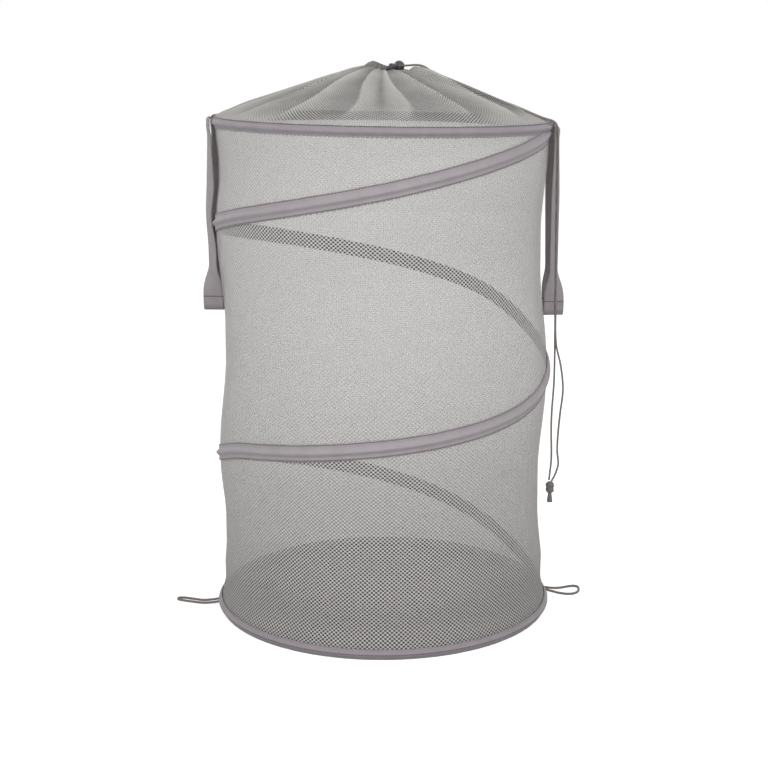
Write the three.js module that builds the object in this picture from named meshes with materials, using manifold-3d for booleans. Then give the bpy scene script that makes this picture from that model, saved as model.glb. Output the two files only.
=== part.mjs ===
// Pop-up laundry hamper: a mesh cylinder on a coiled spring wire, with a drawstring cone on top.
// Millimetres, +Z up. The origin is the middle of the base panel's underside, on the floor.
// The front of the hamper faces -Y and its right-hand handle is on +X.
import * as THREE from 'three';
import { mergeVertices } from 'three/addons/utils/BufferGeometryUtils.js';
import Module from 'manifold-3d';

const wasm = await Module();
wasm.setup();

// Main sizes
const hoopOuterDiameter = 406.4;
const topHoopHeight = 588;
const rimTilt = THREE.MathUtils.degToRad(1.04);
const stepsPerTurn = 48;
const seatGap = 0.3;
const clothThickness = 1;

// Spring wire and the tape that covers it
const wireDiameter = 2.5;
const wireSides = 6;
const archRoom = 0.95;
const tapeThickness = 0.8;
const crownHalfHeight = 1.2;
const crownLap = 0.4;
const footHalfHeight = 2.9;
const footLap = 0.8;
const hoopTapeHalfWidth = 6;
const coilTapeHalfWidth = 9.8;
const tapeEndGap = 0.4;

const wireRadius = wireDiameter / 2;
const wireRingRadius = hoopOuterDiameter / 2 - wireRadius - archRoom - tapeThickness;
const wallRadius = wireRingRadius - wireRadius - seatGap;
const turnStep = (2 * Math.PI) / stepsPerTurn;

// Crimp sleeve over the wire's ends in each hoop
const sleeveGap = 0.15;
const sleeveThickness = 0.2;
const sleeveLength = 26;
const wireEndGap = 2;
const sleeveStep = 8;

// Coil: how far round it is, as a share of its two turns, and how high, as a share of the wall
const coilTurns = 2;
const coilRouteShares = [
  [0, 1], [0.056, 0.955], [0.135, 0.884], [0.224, 0.815], [0.324, 0.734], [0.425, 0.63],
  [0.472, 0.549], [0.5, 0.51], [0.539, 0.463], [0.579, 0.434], [0.653, 0.398], [0.7, 0.371],
  [0.724, 0.345], [0.863, 0.184], [0.914, 0.119], [0.964, 0.041], [1, 0],
];

// Mesh wall
const wallTopAboveHoop = 2.1;
const waistDepthShare = 0.03;
const edgeRoomShare = 0.3;
const lapShare = 0.1;

// Base panel
const panelThickness = 1;

// Drawstring cover: a gathered cone, as [share of the wall's radius, share of the cone's rise,
// share of the fold depth], from the rim to the neck
const coneRise = 56.6;
const foldDepth = 5.5;
const foldCount = 12;
const coverTopAboveHoop = 6;
const coneShares = [
  [0.8, 0.26, 0.09], [0.62, 0.51, 0.27], [0.45, 0.735, 0.5], [0.3, 0.905, 0.8],
  [0.18, 0.995, 1], [0.1, 1, 1], [0.06, 0.99, 0.7], [0.036, 0.97, 0.3],
];

// Neck hem: the gathered channel that holds the drawcord
const cordDiameter = 2.4;
const cordSides = 8;
const channelRoom = 0.4;
const hemThickness = 0.8;
const neckRingRadius = 9;
const pleatDepth = 2.4;
const pleatCount = 12;
const frillHeight = 5;
const frillHighAngle = THREE.MathUtils.degToRad(150);
const exitAngle = THREE.MathUtils.degToRad(3);
const exitHalfAngle = THREE.MathUtils.degToRad(9);
const hemSteps = 36;
const neckCordSteps = 24;

// Cord lock: a ball with a spring plunger that pinches the two strands
const lockAboveHoop = 67.2;
const lockPlace = [20.3, -5, topHoopHeight + lockAboveHoop];
const lockTurn = THREE.MathUtils.degToRad(40);
const lockRise = THREE.MathUtils.degToRad(3);
const ballDiameter = 13.2;
const plungerDiameter = 5.2;
const plungerGap = 0.3;
const boreDepth = 5.3;
const buttonDiameter = 6.8;
const buttonLength = 8;
const plungerTravel = 0.8;
const windowWall = 0.8;
const strandSpacing = 2.6;
const strandOffset = -0.8;
const holeGap = 0.3;
const springWire = 0.35;
const springTurns = 2;

// Handles: one strap looped from two sewn ends
const strapWidth = 24;
const strapThickness = 1.6;
const strapDrop = 221;
const strapHalfSpacing = 33;
const bottomBendRadius = 11;
const bottomReach = 2.6;
const pivotDrop = 7;
const pivotGap = 3.4;
const tapeStandOff = 0.4;
const strapSteps = 44;
const twistShares = [0.56, 0.92];
const bulgeClearShare = 0.5;

// Tie loops of cord at the base, with their woven tabs inside on the base panel
const tieDiameter = 2.4;
const tieTabSize = [36, 26];
const tieTabThickness = 1.2;
const tieTabTurns = { left: -0.25, right: 0.4 };
const tieTabShares = { left: [-0.795, 0.216], right: [0.785, 0.216] };

// Routes of the free cords, chosen by hand
const strandRoutes = {
  a: [
    [14.5, 0.52, 654.78], [17.56, -2.05, 654.99], [23.68, -7.18, 655.41],
    [29.8, -12.32, 655.83], [35.92, -17.46, 656.25], [41.28, -21.95, 656.61],
    [48.4, -27.4, 655.1], [57, -32.2, 650], [70, -35, 643.8], [95, -38.6, 633.6],
    [130, -43.4, 618.8], [165, -47.4, 604], [188, -49.2, 595.4],
    [196.5, -50, 592.8], [200.6, -50.4, 590.4], [202.6, -50.6, 587], [203.1, -50.6, 583.6],
  ],
  b: [
    [13.44, -1.99, 654.82], [15.89, -4.04, 654.99], [22.01, -9.18, 655.41],
    [28.13, -14.31, 655.83], [34.25, -19.45, 656.25], [39.61, -23.94, 656.61],
    [46.8, -29.6, 655], [55.6, -35, 649.8], [69, -38.2, 643.2], [94, -41.8, 633],
    [129, -46.6, 618.2], [164, -50.6, 603.4], [187.4, -52.4, 595],
    [196.2, -53.2, 592.4], [200.4, -53.5, 590], [202.5, -53.6, 586.8], [203.1, -53.6, 583.6],
  ],
};
const tailRoutes = {
  a: [
    [203.1, -50.6, 583.2], [203.5, -50.6, 560], [203.3, -50.6, 500], [203.2, -50.6, 440],
    [203.4, -50.7, 380], [203.6, -50.8, 327], [203.2, -50.8, 284], [201, -50.8, 247],
    [200.6, -50.8, 228], [201.2, -50.8, 190], [199.6, -50.9, 172], [198.7, -51, 164],
  ],
  b: [
    [203.1, -53.6, 583.2], [203.9, -53.6, 560], [203.8, -53.7, 500], [203.7, -53.8, 440],
    [203.7, -53.9, 380], [204.8, -54, 330], [210.6, -54, 304], [213.6, -54, 275], [210.7, -54, 247],
    [208.3, -54, 219], [207.8, -54, 200], [209.2, -53.9, 184], [205.4, -53.7, 171], [201.5, -53.5, 163.4],
  ],
};
const tieRoutes = {
  left: [
    [-201.72, -28.71, 5.2], [-209, -27.7, 3.6], [-222, -24.2, 1.8], [-236, -19.6, 1.7], [-248, -15, 1.7],
    [-253.6, -11.4, 1.7], [-253.4, -6.8, 1.7], [-247.6, -6, 1.7], [-236, -9.8, 1.7], [-222, -14.6, 1.8],
    [-210, -17.6, 3.6], [-202.53, -18.79, 5.2],
  ],
  right: [
    [202.48, 19.28, 5.2], [211, 21.4, 3.4], [222, 26, 1.8], [233, 31, 1.7], [240.6, 33.2, 1.7],
    [245.6, 30, 1.7], [246, 22, 1.7], [243.4, 12, 1.7], [237, 5.4, 1.7], [228, 4.6, 1.7],
    [218, 7.6, 2.2], [210, 9.8, 3.6], [203.05, 11.1, 5.2],
  ],
};
const routeStep = 4;
const tieStep = 3.2;

// Knot that joins the strands, with its frayed end: [share of its radius, share of its length]
const knotPlace = [199.8, -52.1, 137.6];
const knotRadius = 5.2;
const knotLength = 25.2;
const knotShares = [
  [0, 1], [0.5, 0.976], [0.942, 0.881], [1, 0.77], [0.827, 0.698], [0.962, 0.595], [0.846, 0.5],
  [0.462, 0.437], [0.423, 0.381], [0.558, 0.175], [0.635, 0], [0, 0],
];
const knotSides = 12;

// Colours and finishes
const finishes = {
  mesh: { color: 0xb5b3b0, roughness: 0.9 },
  tape: { color: 0x918a8f, roughness: 0.75 },
  panel: { color: 0x69625f, roughness: 0.9 },
  wire: { color: 0x8d9096, roughness: 0.35, metalness: 0.9 },
  sleeve: { color: 0xb9bcc0, roughness: 0.4, metalness: 0.9 },
  strap: { color: 0x9a9496, roughness: 0.8 },
  cord: { color: 0x6e6964, roughness: 0.8 },
  lock: { color: 0x504b50, roughness: 0.35 },
};

const hamper = new THREE.Group();

function addPiece(parent, name, geometry, finish) {
  const mesh = new THREE.Mesh(geometry, new THREE.MeshStandardMaterial(finishes[finish]));
  mesh.name = name;
  parent.add(mesh);
  return mesh;
}

// From 0 to 1 with no kink, as share goes from one value to the other
function smooth(share, from, to) {
  const t = Math.min(1, Math.max(0, (share - from) / (to - from)));
  return t * t * (3 - 2 * t);
}

// Closed shells from rings of points

function closedGeometry(points, triangles) {
  const flat = [];
  for (const corner of triangles.flat()) {
    flat.push(...points[corner]);
  }
  const soup = new THREE.BufferGeometry();
  soup.setAttribute('position', new THREE.Float32BufferAttribute(flat, 3));
  const merged = mergeVertices(soup);
  const source = Array.from(merged.index.array);
  const kept = [];
  for (let i = 0; i < source.length; i += 3) {
    const [a, b, c] = source.slice(i, i + 3);
    if (a !== b && b !== c && c !== a) {
      kept.push([a, b, c]);
    }
  }
  const position = merged.attributes.position;
  const at = (index) => new THREE.Vector3().fromBufferAttribute(position, index);
  let volume = 0;
  for (const [a, b, c] of kept) {
    volume += at(a).dot(at(b).cross(at(c)));
  }
  const turned = volume < 0 ? kept.map(([a, b, c]) => [a, c, b]) : kept;
  merged.setIndex(turned.flat());
  return merged;
}

function sweepSections(sections, outline, closed) {
  const width = sections[0].length;
  const points = sections.flat();
  const triangles = [];
  const spans = closed ? sections.length : sections.length - 1;
  for (let i = 0; i < spans; i += 1) {
    const here = i * width;
    const next = ((i + 1) % sections.length) * width;
    for (let j = 0; j < width; j += 1) {
      const k = (j + 1) % width;
      triangles.push([here + j, next + j, next + k], [here + j, next + k, here + k]);
    }
  }
  if (!closed) {
    const contour = outline.map(([x, y]) => new THREE.Vector2(x, y));
    const cap = THREE.ShapeUtils.triangulateShape(contour, []);
    const last = (sections.length - 1) * width;
    const turned = THREE.ShapeUtils.area(contour) > 0;
    for (const [a, b, c] of cap) {
      triangles.push(turned ? [a, b, c] : [a, c, b]);
      triangles.push(turned ? [last + a, last + c, last + b] : [last + a, last + b, last + c]);
    }
  }
  return closedGeometry(points, orientSweep(points, triangles, closed, width));
}

// The caps' turn must agree with the sides, so their first edges are compared
function orientSweep(points, triangles, closed, width) {
  if (closed) {
    return triangles;
  }
  const sideEdges = new Set();
  const capStart = triangles.findIndex(([a, b, c]) => Math.max(a, b, c) < width);
  for (const [a, b, c] of triangles.slice(0, capStart)) {
    for (const [from, to] of [[a, b], [b, c], [c, a]]) {
      sideEdges.add(`${from},${to}`);
    }
  }
  const clashes = triangles.slice(capStart).some(([a, b, c]) => (
    [[a, b], [b, c], [c, a]].some(([from, to]) => sideEdges.has(`${from},${to}`))
  ));
  return triangles.map(([a, b, c], index) => (
    index >= capStart && clashes ? [a, c, b] : [a, b, c]
  ));
}

function polar(radius, angle, height) {
  return [radius * Math.cos(angle), radius * Math.sin(angle), height];
}

function ringSweep(angles, profileAt, closed) {
  const sections = angles.map((angle) => (
    profileAt(angle).map(([radius, height]) => polar(radius, angle, height))
  ));
  return sweepSections(sections, profileAt(angles[0]), closed);
}

function fullTurn() {
  return Array.from({ length: stepsPerTurn }, (_, i) => i * turnStep);
}

// Rings are faceted at every turnStep, so a point between two steps lies on their chord
function chordRadius(radius, angle) {
  const half = turnStep / 2;
  const within = ((angle % turnStep) + turnStep) % turnStep;
  return (radius * Math.cos(half)) / Math.cos(within - half);
}

// Spring wire and its tape

function wireProfile(centreRadius, centreHeight) {
  return Array.from({ length: wireSides }, (_, i) => {
    const turn = ((i + 1 / 2) / wireSides) * 2 * Math.PI;
    return [centreRadius + wireRadius * Math.cos(turn), centreHeight + wireRadius * Math.sin(turn)];
  });
}

function tapeProfile(centreHeight, above, below) {
  const inner = wallRadius + seatGap;
  const margin = inner + tapeThickness;
  const archInner = wireRingRadius + wireRadius + archRoom;
  const archOuter = archInner + tapeThickness;
  const half = [
    [inner, above], [margin, above], [margin, footHalfHeight + footLap],
    [archOuter, crownHalfHeight + crownLap], [archOuter, -crownHalfHeight - crownLap],
    [margin, -footHalfHeight - footLap], [margin, -below], [inner, -below],
    [inner, -footHalfHeight], [archInner, -crownHalfHeight], [archInner, crownHalfHeight],
    [inner, footHalfHeight],
  ];
  return half.map(([radius, height]) => [radius, centreHeight + height]);
}

function hoopWire(centreHeight) {
  const first = sleeveStep * turnStep;
  const middle = first + turnStep / 2;
  const halfGap = wireEndGap / 2 / wireRingRadius;
  const start = middle + halfGap;
  const end = middle + 2 * Math.PI - halfGap;
  const angles = [start];
  for (let i = sleeveStep + 1; i <= sleeveStep + stepsPerTurn; i += 1) {
    angles.push(i * turnStep);
  }
  angles.push(end);
  return ringSweep(angles, (angle) => wireProfile(chordRadius(wireRingRadius, angle), centreHeight), false);
}

function crimpSleeve(centreHeight) {
  const inner = wireRadius + sleeveGap;
  const outer = inner + sleeveThickness;
  const corners = 6;
  const opening = Math.PI / corners;
  const round = (radius, backwards) => Array.from({ length: corners }, (_, i) => {
    const share = i / (corners - 1);
    const turn = -Math.PI + opening + (backwards ? 1 - share : share) * 2 * (Math.PI - opening);
    return [radius * Math.cos(turn), radius * Math.sin(turn)];
  });
  const outline = [...round(outer, false), ...round(inner, true)];
  const middle = (sleeveStep + 1 / 2) * turnStep;
  const half = sleeveLength / 2 / wireRingRadius;
  const angles = [middle - half];
  if (half > turnStep / 2) {
    angles.push(sleeveStep * turnStep, (sleeveStep + 1) * turnStep);
  }
  angles.push(middle + half);
  return ringSweep(angles, (angle) => outline.map(([out, up]) => (
    [chordRadius(wireRingRadius, angle) + out, centreHeight + up]
  )), false);
}

// Coil heights, smooth between the listed shares

const wallBottom = panelThickness + seatGap;

function wallTop(angle) {
  const above = wallTopAboveHoop * Math.cos(rimTilt);
  return topHoopHeight + above - wallRadius * Math.cos(angle) * Math.sin(rimTilt);
}

function slopeAt(index) {
  const route = coilRouteShares;
  const before = route[Math.max(index - 1, 0)];
  const after = route[Math.min(index + 1, route.length - 1)];
  return (after[1] - before[1]) / (after[0] - before[0]);
}

function coilHeight(turns) {
  const share = turns / coilTurns;
  const route = coilRouteShares;
  let index = 0;
  while (index < route.length - 2 && route[index + 1][0] < share) {
    index += 1;
  }
  const [fromTurn, fromRise] = route[index];
  const [toTurn, toRise] = route[index + 1];
  const span = toTurn - fromTurn;
  const t = (share - fromTurn) / span;
  const rise = (
    fromRise * (2 * t ** 3 - 3 * t ** 2 + 1) + slopeAt(index) * span * (t ** 3 - 2 * t ** 2 + t)
    + toRise * (3 * t ** 2 - 2 * t ** 3) + slopeAt(index + 1) * span * (t ** 3 - t ** 2)
  );
  return wallBottom + rise * (wallTop(0) - wallBottom);
}

const baseHoopHeight = hoopTapeHalfWidth;
const rimTapeLower = (angle) => (
  topHoopHeight - hoopTapeHalfWidth - wireRingRadius * Math.cos(angle) * Math.sin(rimTilt)
);
const baseTapeUpper = baseHoopHeight + hoopTapeHalfWidth;
const archHalf = footHalfHeight + footLap;

// The coil runs clockwise from the right-hand side, seen from above, so its angles are negative
function coilStations() {
  const stations = [];
  for (let i = 0; i <= coilTurns * stepsPerTurn; i += 1) {
    const turns = i / stepsPerTurn;
    const angle = -i * turnStep;
    const height = coilHeight(turns);
    const roomAbove = turns < 1 ? rimTapeLower(angle) - tapeEndGap - height : coilTapeHalfWidth;
    const roomBelow = turns > 1 ? height - baseTapeUpper - tapeEndGap : coilTapeHalfWidth;
    if (roomAbove > archHalf + tapeEndGap && roomBelow > archHalf + tapeEndGap) {
      stations.push({
        angle,
        height,
        above: Math.min(coilTapeHalfWidth, roomAbove),
        below: Math.min(coilTapeHalfWidth, roomBelow),
      });
    }
  }
  return stations;
}

// Least gap from a tube to its own other turns, measured between the points of its middle line
function printSelfGap(name, line, diameter, pointsPerTurn) {
  let least = Infinity;
  for (let i = 0; i < line.length; i += 1) {
    for (let j = i + Math.round(pointsPerTurn / 2); j < line.length; j += 1) {
      least = Math.min(least, line[i].distanceTo(line[j]));
    }
  }
  console.log(`${name}: least gap to itself ${(least - diameter).toFixed(2)} mm`);
}

function coilSweep(profileOf) {
  const stations = coilStations();
  const sections = stations.map((station) => (
    profileOf(station).map(([radius, height]) => polar(radius, station.angle, height))
  ));
  return sweepSections(sections, profileOf(stations[0]), false);
}

// Mesh wall: it lies on the hoops and the coil, and is drawn in between them

const rowsPerBand = 4;

function bandRows(upper, lower, upperRoom, lowerRoom) {
  const height = upper - lower;
  const above = Math.min(upperRoom, height * edgeRoomShare);
  const below = Math.min(lowerRoom, height * edgeRoomShare);
  const waist = wallRadius - waistDepthShare * height;
  const open = height - above - below;
  return [
    [wallRadius, upper - above],
    [waist, upper - above - open / 3],
    [waist, lower + below + open / 3],
    [wallRadius, lower + below],
  ];
}

function wallRows(turns) {
  const angle = -turns * 2 * Math.PI;
  const top = wallTop(angle);
  const first = turns === 0 ? top : coilHeight(turns);
  const second = coilHeight(turns + 1);
  const hoopLap = hoopTapeHalfWidth + wallTopAboveHoop;
  const bottomLap = baseTapeUpper - wallBottom;
  const mix = THREE.MathUtils.lerp;
  const upperLap = mix(hoopLap, coilTapeHalfWidth, smooth(turns, 0, lapShare));
  const lowerLap = mix(coilTapeHalfWidth, bottomLap, smooth(turns, 1 - lapShare, 1));
  return [
    [wallRadius, top],
    ...bandRows(top, first, hoopLap, coilTapeHalfWidth),
    ...bandRows(first, second, upperLap, lowerLap),
    ...bandRows(second, wallBottom, coilTapeHalfWidth, bottomLap),
    [wallRadius, wallBottom],
  ];
}

// The inside has one row behind each tape where the outside has its two edges
function innerRows(turns, outer) {
  const top = wallTop(-turns * 2 * Math.PI);
  const heights = [top, turns === 0 ? top : coilHeight(turns), coilHeight(turns + 1)];
  const waists = outer.filter((_, row) => row % rowsPerBand > 1);
  return heights.flatMap((height, band) => [
    [wallRadius, height], waists[2 * band], waists[2 * band + 1],
  ]).concat([[wallRadius, wallBottom]]);
}

function meshWall() {
  const columns = Array.from({ length: stepsPerTurn + 1 }, (_, i) => {
    const angle = -i * turnStep;
    const outer = wallRows(i / stepsPerTurn);
    const inner = innerRows(i / stepsPerTurn, outer)
      .map(([radius, height]) => [radius - clothThickness, height]).reverse();
    return [...outer, ...inner].map(([radius, height]) => (
      polar(radius, i === stepsPerTurn ? 0 : angle, height)
    ));
  });
  const width = columns[0].length;
  const points = columns.flat();
  const triangles = [];
  for (let i = 0; i < stepsPerTurn; i += 1) {
    for (let j = 0; j < width; j += 1) {
      const here = i * width;
      const next = here + width;
      const k = (j + 1) % width;
      triangles.push([here + j, next + j, next + k], [here + j, next + k, here + k]);
    }
  }
  return closedGeometry(points, triangles);
}

// Base panel and its tie tabs

function basePanel() {
  const outline = new THREE.Shape(fullTurn().map((angle) => (
    new THREE.Vector2(wallRadius * Math.cos(angle), wallRadius * Math.sin(angle))
  )));
  return new THREE.ExtrudeGeometry(outline, { depth: panelThickness, bevelEnabled: false });
}

function tieTab() {
  const [length, width] = tieTabSize;
  return new THREE.BoxGeometry(length, width, tieTabThickness);
}

// Drawstring cover and neck hem, in the tilted frame of the top hoop

function coverProfile(angle) {
  const fold = (1 - Math.cos(foldCount * angle)) / 2;
  const top = coneShares.map(([radius, rise, depth]) => (
    [radius * wallRadius, coverTopAboveHoop + rise * coneRise - depth * foldDepth * fold]
  ));
  const under = top.map(([radius, height]) => [radius, height - clothThickness]).reverse();
  const skirtBottom = wallTopAboveHoop + seatGap;
  const skirtInner = wallRadius - clothThickness;
  return [
    [wallRadius, skirtBottom], [wallRadius, coverTopAboveHoop], ...top, ...under,
    [skirtInner, coverTopAboveHoop - clothThickness], [skirtInner, skirtBottom],
  ];
}

const cordRadius = cordDiameter / 2;
const channelInner = cordRadius + channelRoom;
const channelOuter = channelInner + hemThickness;
const neckHeight = coverTopAboveHoop + coneRise + seatGap + channelOuter;

function hemProfile(angle) {
  const fromExit = (1 - Math.cos(angle - exitAngle)) / 2;
  const pleat = pleatDepth * Math.sqrt(fromExit) * (1 + Math.cos(pleatCount * angle)) / 2;
  const frill = frillHeight * Math.max(0, Math.cos((angle - frillHighAngle) / 2)) ** 2 * fromExit;
  const outer = [
    [-channelOuter, channelInner / 2], [-channelInner / 2, channelOuter + frill],
    [channelInner + pleat / 2, channelOuter + frill * 3 / 4], [channelOuter + pleat, channelInner / 2],
    [channelOuter + pleat, -channelInner], [channelOuter + pleat / 2, -channelOuter],
  ];
  const lip = [[channelInner, -channelInner]];
  const inner = [
    [channelInner, channelInner / 2], [channelInner / 2, channelInner],
    [-channelInner / 2, channelInner], [-channelInner, channelInner / 2],
    [-channelInner, -channelInner], [channelInner / 2, -channelInner], [channelInner / 2, -channelOuter],
  ];
  const foot = [[-channelOuter, -channelOuter]];
  return [...outer, ...lip, ...inner, ...foot].map(([radius, height]) => (
    [neckRingRadius + radius, neckHeight + height]
  ));
}

function neckAngles(steps) {
  const from = exitAngle + exitHalfAngle;
  const span = 2 * Math.PI - 2 * exitHalfAngle;
  return Array.from({ length: steps + 1 }, (_, i) => from + (span * i) / steps);
}

function neckCord() {
  const profile = Array.from({ length: cordSides }, (_, i) => {
    const turn = (i / cordSides) * 2 * Math.PI;
    return [
      neckRingRadius + cordRadius * Math.cos(turn),
      neckHeight + cordRadius * Math.sin(turn),
    ];
  });
  return ringSweep(neckAngles(neckCordSteps), () => profile, false);
}

// Free cords

function cordTube(route, diameter, step) {
  const line = new THREE.CatmullRomCurve3(route.map((point) => new THREE.Vector3(...point)));
  const section = new THREE.Shape(Array.from({ length: cordSides }, (_, i) => {
    const turn = (i / cordSides) * 2 * Math.PI;
    return new THREE.Vector2(diameter / 2 * Math.cos(turn), diameter / 2 * Math.sin(turn));
  }));
  const steps = Math.round(line.getLength() / (step * diameter));
  return new THREE.ExtrudeGeometry(section, { steps, extrudePath: line, bevelEnabled: false });
}

function cordKnot() {
  const outline = knotShares.map(([radius, height]) => (
    new THREE.Vector2(radius * knotRadius, height * knotLength)
  ));
  const geometry = new THREE.LatheGeometry(outline.reverse(), knotSides);
  geometry.rotateX(Math.PI / 2);
  return geometry;
}

// Cord lock, along its own axes: X is the strands' way, -Y the plunger's button, Z up

function asSolid(geometry) {
  const bare = geometry.clone();
  bare.deleteAttribute('normal');
  bare.deleteAttribute('uv');
  const merged = mergeVertices(bare);
  return new wasm.Manifold(new wasm.Mesh({
    numProp: 3,
    vertProperties: new Float32Array(merged.attributes.position.array),
    triVerts: new Uint32Array(merged.index.array),
  }));
}

function asGeometry(solid) {
  const mesh = solid.getMesh();
  const geometry = new THREE.BufferGeometry();
  geometry.setAttribute('position', new THREE.BufferAttribute(mesh.vertProperties, mesh.numProp));
  geometry.setIndex(Array.from(mesh.triVerts));
  return geometry;
}

const lockSegments = 20;
const overrun = 1;
const strandReach = strandSpacing / 2 + cordRadius + holeGap;
const plungerRadius = plungerDiameter / 2;
const boreRadius = plungerRadius + plungerGap;
const ballRadius = ballDiameter / 2;
const plungerEnd = strandOffset + strandReach + windowWall;

function lockCylinder(radius, from, to) {
  const geometry = new THREE.CylinderGeometry(radius, radius, to - from, lockSegments);
  return geometry.translate(0, (from + to) / 2, 0);
}

function lockBody() {
  const ball = asSolid(new THREE.SphereGeometry(ballRadius, lockSegments, lockSegments / 2));
  const bore = asSolid(lockCylinder(boreRadius, -ballRadius - overrun, boreDepth));
  const slotHeight = cordDiameter + 2 * holeGap;
  const slot = new THREE.BoxGeometry(ballDiameter + 2 * overrun, 2 * strandReach, slotHeight);
  return asGeometry(ball.subtract(bore).subtract(asSolid(slot.translate(0, strandOffset, 0))));
}

function lockPlunger() {
  const buttonEnd = -ballRadius - plungerTravel;
  const stem = asSolid(lockCylinder(plungerRadius, buttonEnd - overrun, plungerEnd));
  const button = asSolid(lockCylinder(buttonDiameter / 2, buttonEnd - buttonLength, buttonEnd));
  const windowHeight = cordDiameter + 2 * holeGap;
  const windowLength = 2 * strandReach + plungerTravel;
  const opening = new THREE.BoxGeometry(plungerDiameter + 2 * overrun, windowLength, windowHeight);
  opening.translate(0, strandOffset - plungerTravel / 2, 0);
  return asGeometry(stem.add(button).subtract(asSolid(opening)));
}

function lockSpring() {
  const clear = springWire / 2 + seatGap / 3;
  const from = plungerEnd + clear;
  const length = boreDepth - clear - from;
  const coilRadius = plungerRadius - springWire / 2;
  const stepsEach = 8;
  const sides = 5;
  const profile = Array.from({ length: sides }, (_, i) => {
    const turn = (i / sides) * 2 * Math.PI;
    return [springWire / 2 * Math.cos(turn), springWire / 2 * Math.sin(turn)];
  });
  const pointAt = (i, out, up) => {
    const angle = (i / stepsEach) * 2 * Math.PI;
    const along = from + (length * i) / (springTurns * stepsEach);
    return [(coilRadius + out) * Math.cos(angle), along + up, (coilRadius + out) * Math.sin(angle)];
  };
  const steps = Array.from({ length: springTurns * stepsEach + 1 }, (_, i) => i);
  const line = steps.map((i) => new THREE.Vector3(...pointAt(i, 0, 0)));
  printSelfGap('cord_lock_spring', line, springWire, stepsEach);
  const sections = steps.map((i) => profile.map(([out, up]) => pointAt(i, out, up)));
  return sweepSections(sections, profile, false);
}

// Handles, with their pivot at the origin and the wall on the -X side

const ringOuter = hoopOuterDiameter / 2;
const strapAngle = Math.asin(strapHalfSpacing / ringOuter);
const endRadius = ringOuter + seatGap + strapThickness / 2;
const pivotReach = endRadius * Math.cos(strapAngle);
const bulgeReach = ringOuter + tapeStandOff + strapThickness / 2 - pivotReach;

function strapSpine() {
  const straight = strapDrop - bottomBendRadius;
  const legLength = Math.hypot(straight, strapHalfSpacing - bottomBendRadius);
  const length = legLength * 2 + Math.PI * bottomBendRadius;
  return Array.from({ length: strapSteps + 1 }, (_, i) => {
    const along = (length * i) / strapSteps;
    const side = along < length / 2 ? -1 : 1;
    const fromEnd = Math.min(along, length - along);
    const share = Math.min(1, fromEnd / legLength);
    if (fromEnd <= legLength) {
      const aside = strapHalfSpacing + (bottomBendRadius - strapHalfSpacing) * share;
      return { side, share, place: [side * aside, -straight * share], turn: 0 };
    }
    const turn = (fromEnd - legLength) / bottomBendRadius;
    const aside = bottomBendRadius * Math.cos(turn);
    return {
      side, share, place: [side * aside, -straight - bottomBendRadius * Math.sin(turn)], turn,
    };
  });
}

function handleStrap() {
  const halfWidth = strapWidth / 2;
  const halfThick = strapThickness / 2;
  const corners = [[-1, -1], [1, -1], [1, 1], [-1, 1]];
  const sections = strapSpine().map(({ side, share, place, turn }) => {
    const twist = smooth(share, ...twistShares) * Math.PI / 2;
    const bulge = bulgeReach * smooth(share, 0, bulgeClearShare);
    const reach = bulge + bottomReach * smooth(share, ...twistShares);
    const across = new THREE.Vector3(Math.sin(twist), side * Math.cos(twist), 0);
    const face = new THREE.Vector3(
      Math.cos(twist),
      -side * Math.sin(twist) * Math.cos(turn),
      Math.sin(twist) * Math.sin(turn),
    );
    return corners.map(([w, t]) => {
      const point = new THREE.Vector3(reach, ...place);
      point.addScaledVector(across, -w * halfWidth);
      point.addScaledVector(face, t * halfThick);
      return point.toArray();
    });
  });
  return sweepSections(sections, corners, false);
}

// One end of the strap, sewn flat on the rim tape above the pivot
function strapEnd(side, way) {
  const inner = endRadius - strapThickness / 2;
  const outer = inner + strapThickness;
  const half = strapWidth / 2 / ringOuter;
  const bottom = -pivotDrop + pivotGap + strapThickness / 2;
  const middle = (side > 0 ? 0 : Math.PI) + side * way * strapAngle;
  const bulged = inner / Math.cos(half / 2);
  const corners = [
    [outer, middle - half], [outer, middle], [outer, middle + half],
    [inner, middle + half], [bulged, middle + half / 2], [inner, middle],
    [bulged, middle - half / 2], [inner, middle - half],
  ];
  const shape = new THREE.Shape(corners.map(([radius, angle]) => (
    new THREE.Vector2(radius * Math.cos(angle), radius * Math.sin(angle))
  )));
  const depth = hoopTapeHalfWidth - bottom;
  return new THREE.ExtrudeGeometry(shape, { depth, bevelEnabled: false }).translate(0, 0, bottom);
}

// Base: everything that stays on the floor

addPiece(hamper, 'base_panel', basePanel(), 'panel');
addPiece(hamper, 'wall_mesh', meshWall(), 'mesh');
addPiece(hamper, 'base_hoop_wire', hoopWire(baseHoopHeight), 'wire');
addPiece(hamper, 'base_crimp_sleeve', crimpSleeve(baseHoopHeight), 'sleeve');
addPiece(hamper, 'base_hoop_tape', ringSweep(
  fullTurn(),
  () => tapeProfile(baseHoopHeight, hoopTapeHalfWidth, hoopTapeHalfWidth),
  true,
), 'tape');
addPiece(hamper, 'coil_wire', coilSweep(({ height }) => wireProfile(wireRingRadius, height)), 'wire');
const coilLine = coilStations().map(({ angle, height }) => (
  new THREE.Vector3(...polar(wireRingRadius, angle, height))
));
printSelfGap('coil_wire', coilLine, wireDiameter, stepsPerTurn);
addPiece(hamper, 'coil_tape', coilSweep(({ height, above, below }) => (
  tapeProfile(height, above, below)
)), 'tape');
for (const [side, [across, along]] of Object.entries(tieTabShares)) {
  const tab = addPiece(hamper, `${side}_tie_tab`, tieTab(), 'cord');
  const height = panelThickness + seatGap + tieTabThickness / 2;
  tab.position.set(across * wallRadius, along * wallRadius, height);
  tab.rotation.z = tieTabTurns[side];
  addPiece(hamper, `${side}_tie_loop`, cordTube(tieRoutes[side], tieDiameter, tieStep), 'cord');
}

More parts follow.
